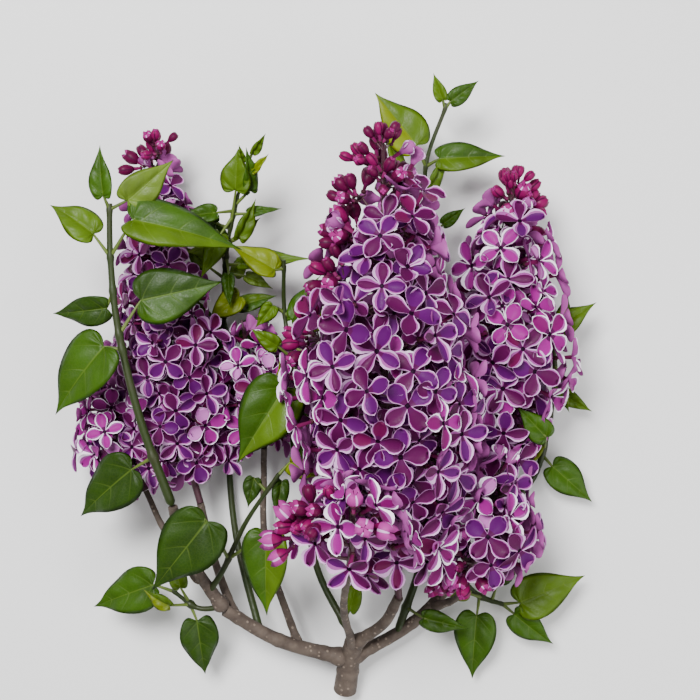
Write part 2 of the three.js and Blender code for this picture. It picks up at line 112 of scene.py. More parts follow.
def unit(vector):
    return vector / np.linalg.norm(vector)


def turned(vector, axis, angle):
    """The vector turned about the axis by the angle."""
    return np.array(Matrix.Rotation(angle, 3, Vector(axis)) @ Vector(vector))


class Course:
    """A smooth middle line, read by its share of length."""

    SAMPLES = 240
    STEP = 0.004  # the share of length that a heading is read over, each way

    def __init__(self, spot):
        self.places = np.array([spot(k / self.SAMPLES) for k in range(self.SAMPLES + 1)])
        steps = np.linalg.norm(np.diff(self.places, axis=0), axis=1)
        self.run = np.concatenate([[0], np.cumsum(steps)])
        self.length = self.run[-1]

    @classmethod
    def through(cls, points):
        """A line through all of the points, that eases past each."""
        points = [np.array(point, float) for point in points]
        ends = [2 * points[0] - points[1], *points, 2 * points[-1] - points[-2]]

        def spot(t):
            reach = t * (len(points) - 1)
            k = min(int(reach), len(points) - 2)
            before, start, end, after = ends[k : k + 4]
            part = reach - k
            leave, arrive = (end - before) / 2, (after - start) / 2
            square = (3 * (end - start) - 2 * leave - arrive) * part**2
            return start + leave * part + square + (2 * (start - end) + leave + arrive) * part**3

        return cls(spot)

    @classmethod
    def bowed(cls, foot, bow, tip):
        """A line from foot to tip, drawn towards the bow."""
        foot, bow, tip = (np.array(point, float) for point in (foot, bow, tip))
        return cls(lambda t: (1 - t) ** 2 * foot + 2 * t * (1 - t) * bow + t * t * tip)

    def at(self, share):
        reach = np.clip(share, 0, 1) * self.length
        return np.array([np.interp(reach, self.run, self.places[:, axis]) for axis in range(3)])

    def heading(self, share):
        share = min(max(share, self.STEP), 1 - self.STEP)
        return unit(self.at(share + self.STEP) - self.at(share - self.STEP))

    def frame(self, share):
        """The point there, and the directions forward, sideways and up across the line."""
        forward = self.heading(share)
        side = unit(np.cross(forward, (0, 0, 1)))
        return self.at(share), forward, side, np.cross(side, forward)

    def points(self, shares):
        return [self.at(share) for share in shares]


# ---------- the branch ----------

# A panicle's flower surface, as in its solid: its radius at foot and tip as shares of the widest,
# the power that it tapers by, and how far along the line a lobe reaches.
BASE_SHARE, TIP_SHARE, TAPER, LOBE_REACH = 0.42, 0.22, 1.25, 0.12
# How far florets lean forward at its foot and tip, and the power that this grows by.
FOOT_LEAN, TIP_LEAN, LEAN_POWER = math.radians(-14), math.radians(52), 1.6
CLEARANCE = 0.35  # from the end of a bough to the foot of its panicle
CORE_SHARE = 0.76  # florets keep out of this much of a later panicle's radius,
OUTER_SHARE = 0.93  # and of an earlier one's
ABOVE = math.pi / 2  # the way round a panicle that faces up


class Limb(namedtuple("Limb", "points radii leaves", defaults=[()])):
    """A bough or shoot: points on its middle line, the radius at each end, and its leaves."""

    def course(self):
        return Course.through(self.points)


class Leaf(namedtuple("Leaf", "at stalk blade rise roll fold curl tint")):
    """A leaf's place along its shoot, its stalk (heading, length, climb) and blade (heading,
    length, width), its turns in degrees, and the tint of the whole or of each half. A tint may
    be painted light: a shaded, sunlit or backlit copy of the green. Where the two halves
    differ, one half is painted lit and the other shaded."""

    def frame(self):
        """Directions of the blade: along its midrib, to its left and up out of its face."""
        turn, climb = math.radians(self.blade[0]), math.radians(self.rise)
        level = math.cos(climb)
        along = np.array((level * math.cos(turn), level * math.sin(turn), math.sin(climb)))
        left = turned((-math.sin(turn), math.cos(turn), 0), along, math.radians(self.roll))
        return along, left, np.cross(along, left)

    def foot(self, course):
        """Where its stalk leaves the shoot, and where it meets the blade."""
        heading, reach, climb = self.stalk
        attach, turn = course.at(self.at), math.radians(heading)
        return attach, attach + np.array((reach * math.cos(turn), reach * math.sin(turn), climb))


@dataclass
class Panicle:
    """One flower mass: its middle line, its flower surface, and the sites spread over it."""

    limb: str  # that it goes on from
    bow: tuple  # that its middle line is drawn towards
    tip: tuple
    widest: float  # its largest radius,
    belly: float  # and where along the line that lies
    seed: int
    # The deals are partly painted light and shade. Sunlit panicles are dealt more of the pale
    # tints, which carry white edges, and more broad white edges; shaded ones are dealt more plum
    # and violet.
    tints: tuple  # how often each petal tint is dealt
    broad: float  # the share of florets with broad white edges
    lobes: tuple = ()  # places along and around the line that swell out, and how far
    heads: tuple = ()  # heads of buds among the florets: along, around, youth
    shut: float = 1  # from here on its buds are still shut,
    early: float = 0  # later on this side and sooner on the other,
    lag: float = 0  # by this much
    bare: tuple = (0, 0)  # how much of its foot bears no florets, below and above
    crowd: float = 1  # the share of the usual spacing between florets
    small: float = 1  # the share of their usual size

    AXIS_STEPS = 40
    AREA_STEPS = 80
    AHEAD = 6  # how far ahead of a point on the line a point may lie, to count as beside it

    def __post_init__(self):
        limb = LIMBS[self.limb].course()
        foot = limb.at(1) + limb.heading(1) * CLEARANCE
        self.line = Course.bowed(foot, self.bow, self.tip)
        shares = [k / self.AXIS_STEPS for k in range(self.AXIS_STEPS + 1)]
        self.axis = np.array(self.line.points(shares))

    def radius(self, along, around=ABOVE):
        """The flower surface's radius at a place along and around the middle line."""
        if along < self.belly:
            share = mix(BASE_SHARE, 1, math.sin(math.pi / 2 * along / self.belly))
        else:
            share = 1 - (1 - TIP_SHARE) * ((along - self.belly) / (1 - self.belly)) ** TAPER
        lobes = sum(
            out * hump(along - at, LOBE_REACH) * max(0, math.cos(around - math.radians(turn))) ** 2
            for at, turn, out in self.lobes
        )
        return self.widest * share + lobes

    def sites(self, spacing, layer):
        """Places spread evenly on a golden-angle spiral, each with four random numbers."""
        draw = seeded(self.seed + layer)
        steps = self.AREA_STEPS
        rings = [2 * math.pi * self.radius((k + 0.5) / steps) for k in range(steps)]
        area = np.concatenate([[0], np.cumsum(rings)]) * self.line.length / steps
        number = round(area[-1] / (spacing * self.crowd) ** 2)
        for n in range(number):
            reach = (n + draw()) / number * area[-1]
            along = np.interp(reach, area, np.arange(steps + 1)) / steps
            around = n * GOLDEN_ANGLE + 0.3 * (draw() - 0.5) + layer
            yield along, around, [draw() for _ in range(4)]

    def pose(self, along, around, spin, tilt, share=1.0, stand=0.0):
        """The point of a floret there, and its directions across, upright and outward."""
        point, forward, side, lift = self.line.frame(along)
        radial = side * math.cos(around) + lift * math.sin(around)
        lean = mix(FOOT_LEAN, TIP_LEAN, along**LEAN_POWER) + 0.3 * (tilt - 0.5)
        outward = radial * math.cos(lean) + forward * math.sin(lean)
        across = turned(np.cross(forward, radial), outward, spin * math.pi)
        point = point + radial * (self.radius(along, around) * share + stand)
        return point, across, np.cross(outward, across), outward

    def holds(self, point, share):
        """True if the point lies inside this share of the flower surface."""
        along = int(np.argmin(np.linalg.norm(self.axis - point, axis=1))) / self.AXIS_STEPS
        spot, *axes = self.line.frame(along)
        ahead, across, up = (float((point - spot) @ axis) for axis in axes)
        reach = math.hypot(up, across)
        around = math.atan2(up, across)
        return abs(ahead) < self.AHEAD and reach < share * self.radius(along, around)

    def shut_from(self, around):
        """Where along the panicle its buds are still shut, on this side of it."""
        return self.shut + self.lag * math.cos(around - math.radians(self.early))

    def bare_to(self, around):
        """Where along the panicle its first florets grow, on this side of it."""
        return mix(*self.bare, (1 + math.sin(around)) / 2)

    def bud_heads(self, spacing, bud):
        """Places and youth of the heads of buds: among the florets, and in crossed pairs towards
        the tip, where one stands on the end of the line."""
        draw = seeded(self.seed + 3)
        for along, around, youth in self.heads:
            yield along, math.radians(around), youth
        if self.shut == 1:
            return
        start = self.shut - self.lag - 0.04
        tip = 1 - 1.25 * bud / self.line.length
        pairs = max(2, round((tip - start) * self.line.length / spacing))
        for pair in range(pairs):
            along = mix(start, tip, (pair + 0.4) / pairs)
            for side in (0, math.pi):
                around = pair * math.pi / 2 + side + 0.6 * (draw() - 0.5)
                if along > self.shut_from(around) - 0.03:
                    yield along + 0.01 * (draw() - 0.5), around, (along - start) / (1 - start)
        yield tip, ABOVE, 1.0


LIMBS = {
    "main_stem": Limb([(-2.4, -163.9, 5.7), (-0.5, -150, 12), (1.9, -137.9, 20)], (5.6, 4.6)),
    "bough_front_tall": Limb([(1.6, -139, 19.5), (15.5, -126.5, 33), (22, -112.5, 44)], (2.9, 2.3)),
    "bough_front_small": Limb([(1.4, -140.5, 20), (-2.8, -116, 52), (-0.3, -93.5, 81)], (1.9, 1.5)),
    "bough_right": Limb([(0, -147, 15), (31, -129, 14), (56, -103, 11.5)], (3.2, 2.5)),
    "bough_right_rise": Limb(
        [(56.3, -102.6, 11.5), (68.5, -79, 12.5), (72.4, -62, 16), (72.8, -53, 25)], (2.5, 1.9)
    ),
    "bough_right_low": Limb(
        [(39.5, -122.5, 13.6), (49, -116.5, 26), (53.4, -107.5, 37)], (1.9, 1.5)
    ),
    "bough_left": Limb([(-1.5, -147, 14), (-33, -137, 21), (-58, -121, 30)], (3.6, 2.9)),
    "bough_left_rise": Limb(
        [(-58.3, -120.7, 30.1), (-70, -101, 40), (-76.5, -84, 49), (-79, -70, 56)], (2.9, 2.2)
    ),
    "bough_left_tall": Limb([(-53, -126, 28), (-64, -100, 18), (-70.2, -72, 24)], (2.1, 1.7)),
    "bough_left_inner": Limb(
        [(-24, -141, 18), (-40, -95, 11), (-41, -58, 14), (-40.5, -46, 21)], (1.9, 1.4)
    ),
    "bough_left_low": Limb([(-69, -107, 38), (-86, -85, 28), (-95.6, -66, 25)], (1.7, 1.3)),
}

# The tint deals and broad edges differ by panicle partly as painted light: the sunlit ones are
# paler, the shaded ones darker and bluer.
PANICLES = {
    "front_tall": Panicle(
        "bough_front_tall", (13, -20, 88), (14, 93, 86), 37.5, 0.44, 11, (7, 5, 6, 5, 1, 0), 0.1,
        lobes=[(0.53, 180, 8)], heads=[(0.7, 172, 0.2), (0.58, 190, 0.3)],
        shut=0.88, early=10, lag=0.08, bare=(0.07, 0.11),
    ),
    "front_small": Panicle(
        "bough_front_small", (2, -76, 102), (1, -57, 113), 26, 0.5, 24, (3, 3, 9, 3, 2, 2), 0.55,
        lobes=[(0.45, 185, 5)], bare=(0.2, 0.52), crowd=0.87,
        heads=[(0.72, 178, 0.35), (0.58, 188, 0.3), (0.45, 176, 0), (0.76, 76, 0)],
    ),
    "right_tall": Panicle(
        "bough_right_rise", (71, 20, 31), (75.5, 82, 31), 26.5, 0.42, 37, (2, 1, 4, 3, 6, 5), 0.55,
        lobes=[(0.42, 0, 6)], shut=0.9, early=180, lag=0.04,
    ),
    "right_low": Panicle(
        "bough_right_low", (58, -80, 49), (68, -50, 53), 25, 0.5, 41, (4, 3, 2, 7, 1, 1), 0.35,
        lobes=[(0.1, 180, 5)], bare=(0, 0.2),
        heads=[(0.14, 145, 0.15), (0.23, 105, 0.2), (0.32, 130, 0)],
    ),
    "left_tall": Panicle(
        "bough_left_tall", (-88, -10, 27), (-89, 92, 30), 24, 0.34, 53, (6, 2, 1, 7, 2, 1), 0.25,
        lobes=[(0.36, 180, 3)], heads=[(0.99, 90, 0.9), (0.95, 200, 0.3)], bare=(0.08, 0.09),
        crowd=0.85, small=0.84,
    ),
    "left_inner": Panicle(
        "bough_left_inner", (-44, -14, 25), (-51, 14, 24), 21.5, 0.5, 67, (3, 2, 2, 5, 3, 2), 0.5,
        crowd=0.85, small=0.84,
    ),
    "left_low": Panicle(
        "bough_left_low", (-108, -44, 26), (-118, -17, 27), 18, 0.5, 71, (5, 3, 1, 5, 1, 1), 0.2,
        bare=(0.06, 0.12), crowd=0.85, small=0.84,
    ),
}

# Each leaf's tint paints the light and shade on it: sunlit, shaded and backlit tints, and two tints
# on a leaf whose halves lie lit and shaded.
SHOOTS = {
    "left_front": Limb(
        [(-79.3, -69.2, 56.6), (-92.7, -31, 61), (-102, 9, 64), (-105, 39, 66), (-105, 64, 69)],
        (2.2, 1.2),
        [
            Leaf(0.83, (56, 19, 5), (-10, 50, 25), 3, -24, 24, 26, "green bright"),
            Leaf(0.83, (125, 12, 3), (140, 24, 17), 6, 20, 22, 30, "bright"),
            Leaf(0.58, (57, 18, 1), (12, 37, 25), 2, 0, 7, 8, "deep green"),
            Leaf(0.98, (25, 9, 2), (39, 27, 17), 8, 24, 16, 18, "pale"),
            Leaf(0.98, (110, 6, 4), (96, 22, 12), 12, -16, 24, 16, "green"),
            Leaf(0.72, (-115, 8, -3), (-172, 27, 15), -8, -20, 16, 20, "deep"),
            Leaf(0.53, (170, 8, 1), (-132, 40, 29), -3, 22, 14, 24, "green"),
            Leaf(0.17, (-150, 12, -6), (-142, 38, 25), -14, 10, 12, 20, "deep"),
        ],
    ),
    "left_middle": Limb(
        [
            (-42, -134, 22), (-55.5, -85, 8), (-59.6, -26, 6.5), (-60, 22, 13),
            (-57, 48, 30), (-51.4, 71, 38), (-45.5, 88, 45),
        ],
        (1.9, 0.7),
        [
            Leaf(0.86, (80, 15, 8), (86, 19, 16), 22, -14, 18, 20, "bright"),
            Leaf(0.9, (40, 9, 4), (88, 21, 10), 30, 40, 30, 14, "green"),
            Leaf(0.99, (56, 4, 2), (54, 12, 6), 26, 30, 40, -12, "bright"),
            Leaf(0.97, (-12, 4, 2), (42, 12, 6), 22, -20, 40, -14, "yellow"),
            Leaf(0.97, (100, 4, 2), (104, 9, 4), 30, 0, 40, -12, "bright"),
            Leaf(0.82, (16, 6, 7), (64, 20, 11), 14, 30, 36, 8, "bright"),
            Leaf(0.88, (2, 7, 3), (7, 16, 6), 8, -24, 24, 6, "green"),
            Leaf(0.85, (160, 7, 2), (155, 15, 10), 6, -20, 18, 20, "deep"),
            Leaf(0.77, (2, 8, 6), (7, 34, 12), 10, -34, 26, 10, "bright"),
            Leaf(0.79, (140, 5, 5), (-176, 15, 9), 10, 14, 18, 18, "pale"),
            Leaf(0.7, (-10, 8, 8), (-145, 19, 14), 4, 10, 20, 16, "yellow"),
        ],
    ),
    "inner": Limb(
        [
            (1.4, -136.4, 20.5), (-16.8, -101, 11), (-22.5, -50, 14),
            (-22.5, -24, 38), (-30, 14, 32), (-30.2, 41, 42),
        ],
        (1.8, 0.9),
        [
            Leaf(0.05, (62, 7, 8), (76, 21, 9), 14, 10, 20, 12, "bright"),
            Leaf(0.98, (-170, 4, 2), (150, 24, 15), 4, 24, 22, 14, "yellow"),
            Leaf(0.87, (-40, 5, 3), (66, 25, 11), 10, -44, 30, 24, "green"),
            Leaf(0.87, (150, 6, 3), (-128, 13, 9), 4, 0, 24, 16, "bright"),
            Leaf(0.68, (160, 6, 24), (-123, 40, 31), 0, 4, 26, 12, "bright green"),
            Leaf(0.68, (172, 8, 16), (84, 16, 8), 26, 30, 34, 20, "yellow"),
        ],
    ),
    "top": Limb(
        [
            (22.5, -134.5, 16), (36, -92, 8.5), (39, -24, 9),
            (38, 47, 15), (35.2, 84, 26), (44.8, 114, 34),
        ],
        (2, 0.9),
        [
            Leaf(0.05, (-20, 8, 12), (-12, 22, 11), 10, 0, 20, 14, "green"),
            Leaf(0.88, (118, 10, 8), (128, 31, 21), 6, 8, 10, 10, "yellow bright"),
            Leaf(0.88, (27, 7, 4), (3, 31, 15), 4, -10, 16, 12, "green bright"),
            Leaf(0.85, (-60, 4, 4), (58, 21, 9), 12, 40, 30, 30, "bright"),
            Leaf(0.85, (158, 12, 5), (112, 20, 8), 8, 20, 24, 10, "bright"),
            Leaf(0.99, (50, 4, 2), (36, 16, 9), 10, 10, 20, 16, "green"),
            Leaf(0.99, (110, 4, 2), (112, 13, 7), 14, -10, 24, 12, "bright"),
            Leaf(0.74, (51, 10, 4), (37, 13, 7), 6, 0, 20, 12, "green"),
        ],
    ),
    "right": Limb(
        [(70, -80, 12), (88, -62, 7), (95, -40, 7), (98.5, -14, 8), (97, 6, 13)],
        (1.8, 0.9),
        [
            Leaf(0.95, (120, 7, 8), (36, 27, 15), 12, -20, 20, 16, "bright"),
            Leaf(0.78, (-70, 6, 4), (-35, 18, 9), 10, 14, 22, 18, "bright"),
            Leaf(0.44, (120, 8, 34), (134, 20, 13), 16, 0, 16, 12, "green"),
            Leaf(0.4, (-50, 7, 3), (-42, 26, 17), 6, -8, 14, 18, "green"),
            Leaf(0.98, (60, 4, 1), (72, 20, 12), 4, 10, 20, 18, "green"),
        ],
    ),
    "front_left": Limb(
        [(-64.5, -111, 36), (-57.2, -99, 43), (-46.5, -77, 51), (-31.5, -55, 58)],
        (1.5, 0.8),
        [
            Leaf(0.97, (48, 9, 0), (-30, 15, 12), 4, 20, 20, 16, "yellow"),
            Leaf(0.9, (20, 5, -3), (-98, 18, 9), 2, -20, 22, 10, "deep"),
            Leaf(0.85, (135, 8, -2), (-104, 14, 9), -4, 0, 16, 10, "deep"),
            Leaf(0.3, (35, 22, 12), (-93, 38, 23), 0, 14, 16, 18, "bright green"),
            Leaf(0.3, (112, 21, 19), (-128, 42, 29), -5, -6, 10, 14, "deep"),
        ],
    ),
    "low_left": Limb(
        [(-59.6, -119.4, 31), (-71, -120, 29), (-83, -112, 28)],
        (1.4, 0.9),
        [
            Leaf(0.96, (160, 10, 2), (-160, 34, 22), -10, 14, 14, 18, "green"),
            Leaf(0.6, (-70, 9, -2), (-84, 30, 19), -12, -10, 16, 20, "deep"),
        ],
    ),
    "low_right": Limb(
        [(53, -109.5, 9.5), (62, -118, 9), (74, -122, 11)],
        (1.5, 0.9),
        [
            Leaf(0.5, (-100, 9, 3), (-96, 32, 21), 0, 10, 14, 18, "green"),
            Leaf(0.96, (10, 8, 3), (24, 34, 22), 10, -8, 14, 22, "bright"),
            Leaf(0.96, (-40, 7, 2), (-40, 24, 15), 4, 8, 18, 16, "green"),
        ],
    ),
}

# How many young leaves a shoot bears between its large ones, and their tints.
YOUNG_LEAVES = {"left_middle": 14, "inner": 10, "right": 2, "low_left": 2, "low_right": 2}
# Most of these tints are painted light: sunlit and backlit copies of the green.
YOUNG_TINTS = ("green", "bright", "pale", "bright green", "yellow bright")

# The cut face's middle is known in both frames, and sets the branch down where its solids lie.
CUT_FACE = np.array(LIMBS["main_stem"].points[0])
SET_DOWN = np.array(frame["record"]["mounts"][0]["pos_m"]) - CUT_FACE * MM

# ---------- shapes that the small pieces are cut to ----------

# A petal's half width at places along it, each as a share of the most.
PETAL_OUTLINE = ((0, 0.27), (0.19, 0.5), (0.41, 0.9), (0.59, 1), (0.76, 0.86), (0.91, 0.5))
PETAL_FOOT = 0.04  # from the throat, in spans of the floret
HOOK_FROM = 0.6  # the place along a petal that its tip hooks up from
BLUSH = 2.1  # how far the blush inside a petal's edge reaches, in widths of the edge
TIP_EDGE = 0.45  # how far its edge reaches in from its tip, in widths of the edge
BACK_COLUMNS = (-0.55, 0, 0.55)  # places across a petal's back
# The floret's forms: how steeply the petals rise, how they bend back, how deep they are cupped,
# how far their tips hook up, their length, and how broad their edge is, all as shares.
PetalForm = namedtuple("PetalForm", "rise bend cup hook length edge")
FLORET_FORMS = {
    "flat": PetalForm(0.02, -0.04, 0.45, 0.1, 1.0, 1.0),
    "level": PetalForm(0.12, -0.16, 0.6, 0.12, 1.0, 0.75),
    "loose": PetalForm(0.16, -0.34, 0.4, 0.06, 1.0, 1.25),
    "bowl": PetalForm(0.35, -0.22, 0.6, 0.12, 0.98, 1.9),
    "opening": PetalForm(1.1, -0.3, 0.7, 0.1, 0.9, 1.3),
    "half_shut": PetalForm(2.6, 0.1, 0.9, 0.14, 0.75, 1.0),
}
FORM_SEED = 500
OPEN_FORMS = 4  # the first of these are wide open
BROAD_FORM = 3  # the one with broad edges
# A shut bud's radius at places along it.
BUD_OUTLINE = ((0, 0.4), (0.18, 0.68), (0.4, 0.94), (0.6, 1), (0.8, 0.88), (0.94, 0.5))
# Its forms: how far its petals have parted, from which ring on they are pale, and its fullness.
BUD_FORMS = {"shut": (0.0, 5, 0.95), "parting": (0.12, 4, 1.1), "ripe": (0.2, 2, 1.15)}
RIPE_FORM = 2
BUD_PEAK = 0.06  # how far a bud's petals rise above its seams,
BUD_PIT = 0.86  # and where they meet in its middle
SEAM_ANGLE = math.radians(8)
TUBE_SHARE = 0.42  # of a floret's span, behind its petals
THROAT_DEPTH = 0.05
BUD_TUBE = 0.6  # of a bud's length, behind it
# A tube's mouth, its waist, and its calyx's rim and cup: radius, in widths of the tube, and place.
TUBE_RINGS = ((1.25, 0), (0.8, 0.78), (1.5, 0.74), (1.2, 0.9))
# A leaf's edge from its stalk round one lobe to its tip: along the blade, and out from the midrib.
LEAF_OUTLINE = (
    (0, 0), (-0.05, 0.2), (-0.075, 0.46), (-0.03, 0.74), (0.09, 0.94), (0.24, 1),
    (0.4, 0.91), (0.56, 0.69), (0.71, 0.41), (0.84, 0.17), (0.94, 0.05), (1, 0),
)
SIDE_VEINS = 6
ROWS_PER_VEIN = 4
BLADE_COLUMNS = 6  # from the midrib to the edge
VEIN_SLOPE = 0.9  # how far a side vein runs forward, for its reach sideways
EDGE_WAVES = 2.3  # along each edge of a leaf
MARGIN = 0.03  # round each blade in its cell of the bake map

# Which part of a floret or bud a face belongs to.
UPPER, LOWER, HEART, BLUSHED, RIM, BACK, THROAT, TUBE, CALYX, TIP, SEAM = range(11)
# The petal tints, and the tint that a floret's lower petals take for each.
TINTS = ("plum", "wine", "magenta", "violet", "orchid", "pink")
LOWER_TINTS = (3, 0, 4, 0, 4, 4)
# The white edge on these tints is the pale margin whitened further, partly as painted sunlight.
PALE_TINTS = (2, 4, 5)  # those with a white edge
DARK_BUDS = (0, 3)
# The sixth petal tint is painted sunlight on the petals; ripe buds take its number for their own
# paler colour.
ORCHID, PINK = 4, 5

# ---------- settings ----------


def setting(name, description, default, kind=FloatProperty, **more):
    return kind(name=name, description=description, default=default, **more)


def length(*words):
    return setting(*words, min=0, subtype="DISTANCE", unit="LENGTH", precision=4)


def share(*words):
    return setting(*words, min=0, max=2, subtype="FACTOR")


def angle(name, description, degrees):
    return setting(name, description, math.radians(degrees), subtype="ANGLE", unit="ROTATION")


def colour(*words):
    return setting(*words, FloatVectorProperty, size=3, min=0, max=1, subtype="COLOR")


def count(*words, low=1):
    return setting(*words, IntProperty, min=low)


class LilacFlowers(bpy.types.PropertyGroup):
    """Sizes of the florets and buds."""

    span: length("Floret Span", "Across an open floret, from petal tip to petal tip", 0.0232)
    petal_width: share("Petal Width", "Widest part of a petal, as a share of the span", 0.335)
    edge: share("White Edge", "Width of the white edge, as a share of half a petal", 0.1)
    thickness: share("Petal Thickness", "As a share of the span", 0.022)
    spacing: length("Floret Spacing", "From one outer floret to the next", 0.0148)
    inner_spacing: length("Inner Spacing", "From one inner floret to the next", 0.0165)
    inner_share: share("Inner Layer", "Radius of the inner florets' layer", 0.7)
    unevenness: length("Unevenness", "How far florets stand in or out of the surface", 0.0036)
    tilt: angle("Tilt", "How far a floret may turn from its rule", 17)
    bud_length: length("Bud Length", "Ripe bud, without its tube", 0.0084)
    bud_width: length("Bud Width", "Across a ripe bud", 0.007)
    youngest: share("Youngest Bud", "Size of the buds at the tip, as a share of a ripe one", 0.66)
    head_spacing: length("Head Spacing", "From one pair of bud heads to the next", 0.0085)
    buds_in_head: count("Buds in a Head", "Buds on one side twig", 6)
    size_spread: share("Size Spread", "How much florets and buds differ in size", 0.1)
    seed: count("Seed", "Seed of the small differences between florets", 7, low=0)


class LilacTwigs(bpy.types.PropertyGroup):
    """Sizes of the stalks inside a panicle."""

    stalk: length("Stalk Radius", "Radius of a panicle's middle stalk at its foot", 0.0017)
    side: length("Side Twig Radius", "Radius of a side twig at its foot", 0.0009)
    fine: length("Fine Stalk Radius", "Radius of a floret's own stalk", 0.00036)
    gap: length("Side Twig Gap", "From one pair of side twigs to the next", 0.011)
    sides: count("Sides", "Sides of a twig", 6, low=3)


class LilacShoots(bpy.types.PropertyGroup):
    """Sizes of the leaves and green stems."""

    thickness: length("Leaf Thickness", "Thickness of a leaf at its midrib", 0.0006)
    quilting: length("Quilting", "Height of the leaf between two side veins", 0.0012)
    wave: share("Wave", "Waviness of a leaf's edge, as a share of its width", 0.055)
    stalk: length("Leaf Stalk Radius", "Radius of a leaf's stalk", 0.00075)
    swelling: share("Swelling", "Swelling of the stem where leaves grow", 0.3)
    sides: count("Sides", "Sides of a green stem", 10, low=3)


class LilacBark(bpy.types.PropertyGroup):
    """Sizes of the bark."""

    relief: length("Relief", "Height of the bark's ridges", 0.0005)
    grain: setting("Grain", "Ridges in a metre of bark", 420, min=1)
    flare: share("Flare", "How far a limb widens where it springs", 0.35)
    sides: count("Sides", "Sides of a limb", 20, low=3)
    seed: count("Seed", "Seed of the ridges", 3, low=0)


class LilacColours(bpy.types.PropertyGroup):
    """Colours of petals, buds, twigs, leaves and bark."""

    plum: colour("Plum Petal", "First petal tint", (0.064, 0.0004, 0.042))
    wine: colour("Wine Petal", "Second petal tint", (0.092, 0.0004, 0.04))
    magenta: colour("Magenta Petal", "Third petal tint", (0.14, 0.0008, 0.085))
    violet: colour("Violet Petal", "Fourth petal tint", (0.068, 0.0005, 0.082))
    orchid: colour("Orchid Petal", "Fifth petal tint", (0.23, 0.008, 0.17))
    # Painted light: the sixth tint is a sun-washed copy of the petal colour, with its sheen painted
    # in.
    pink: colour("Pink Petal", "Sixth petal tint", (0.47, 0.14, 0.43))
    blush: colour("Petal Blush", "Just inside the white edge", (0.27, 0.06, 0.24))
    edge: colour("Petal Edge", "Edge of a petal", (0.58, 0.33, 0.58))
    # The white edge is the petals' pale margin whitened as painted sunlight; it goes with the paler
    # tints.
    edge_white: colour("White Petal Edge", "Edge of the paler petals", (0.92, 0.78, 0.94))
    back: colour("Petal Back", "Outside of a petal", (0.3, 0.065, 0.25))
    heart: colour("Petal Foot", "Petal near the throat", (0.06, 0.001, 0.045))
    # Painted shade: the throat is painted near black for the shade inside the tube's hollow.
    throat: colour("Throat", "Mouth of the tube", (0.012, 0.0, 0.012))
    tube: colour("Tube", "Outside of the tube", (0.13, 0.006, 0.06))
    calyx: colour("Calyx", "Cup under the tube", (0.05, 0.012, 0.02))
    bud: colour("Bud", "Ripe bud", (0.16, 0.001, 0.06))
    bud_dark: colour("Dark Bud", "Younger buds", (0.08, 0.001, 0.03))
    bud_tip: colour("Bud Tip", "Petal tips that close a bud", (0.25, 0.015, 0.14))
    bud_ripe: colour("Ripe Bud", "Buds about to open", (0.32, 0.035, 0.22))
    bud_seam: colour("Bud Seam", "Grooves of a bud", (0.05, 0.001, 0.025))
    twig: colour("Twig", "Stalks inside a panicle", (0.05, 0.012, 0.022))
    # Painted light and shade: the first of these leaf tints is a shaded copy of the common green,
    # the third a sunlit copy, and the fourth a copy with the sun shining through. The pale tint is
    # the leaves' own.
    deep: colour("Deep Leaf", "Shaded leaves", (0.014, 0.038, 0.001))
    green: colour("Green Leaf", "Common leaves", (0.025, 0.066, 0.001))
    bright: colour("Bright Leaf", "Sunlit leaves", (0.054, 0.104, 0.0005))
    yellow: colour("Yellow Leaf", "Leaves with the sun behind them", (0.125, 0.165, 0.0005))
    pale: colour("Pale Leaf", "Leaves with a pale bloom", (0.09, 0.145, 0.012))
    vein: colour("Vein", "Veins of a leaf", (0.11, 0.17, 0.02))
    stem: colour("Green Stem", "Stems of the leafy shoots", (0.016, 0.028, 0.003))
    leaf_stalk: colour("Leaf Stalk", "Stalks of the leaves", (0.09, 0.13, 0.02))
    bark: colour("Bark", "Bark of the limbs", (0.045, 0.03, 0.022))
    bark_pale: colour("Pale Bark", "Worn bark and pores", (0.17, 0.13, 0.1))
    cut_wood: colour("Cut Wood", "Wood on the cut end", (0.62, 0.5, 0.31))


class LilacStudio(bpy.types.PropertyGroup):
    """Camera, light and floor."""

    height: length("Camera Height", "From the branch's lowest level to the camera", 0.665)
    lens: setting("Lens", "Focal length on a 36 mm sensor", 70.25, unit="CAMERA")
    key: setting("Key Light", "Power of the key light", 21, unit="POWER")
    fill: setting("Fill Light", "Power of the fill light", 9, unit="POWER")
    sky: share("Room Light", "Strength of the light from all round", 0.42)
    floor_size: length("Floor Size", "Side of the floor", 14 * max(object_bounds()[1]))
    floor: colour("Floor", "Colour of the floor", (0.8, 0.8, 0.8))


# ---------- meshes and node trees ----------


def placed(points):
    """Points of the branch, in millimetres, as metres in the frame that the solids lie in."""
    return np.asarray(points, float) * MM + SET_DOWN


def new_mesh(name, points, edges=(), faces=()):
    mesh = bpy.data.meshes.new(name)
    mesh.from_pydata([tuple(point) for point in points], edges, faces)
    return mesh


def store(mesh, name, values, kind="INT", domain="POINT"):
    """Stores a value for each point, edge or face of the mesh."""
    mesh.attributes.new(name, kind, domain).data.foreach_set("value", values)


def add_object(name, mesh):
    made = bpy.data.objects.new(name, mesh)
    bpy.context.scene.collection.objects.link(made)
    return made


def line_mesh(name, lines):
    """Loose lines as one mesh, with their radius in the attribute girth. Each line is points and
    radii."""
    points, edges, girth = [], [], []
    for places, radii in lines:
        first = len(points)
        points.extend(placed(places))
        edges.extend((first + k, first + k + 1) for k in range(len(places) - 1))
        girth.extend(np.broadcast_to(radii, len(places)))
    mesh = new_mesh(name, points, edges)
    store(mesh, "girth", np.array(girth), "FLOAT")
    return mesh


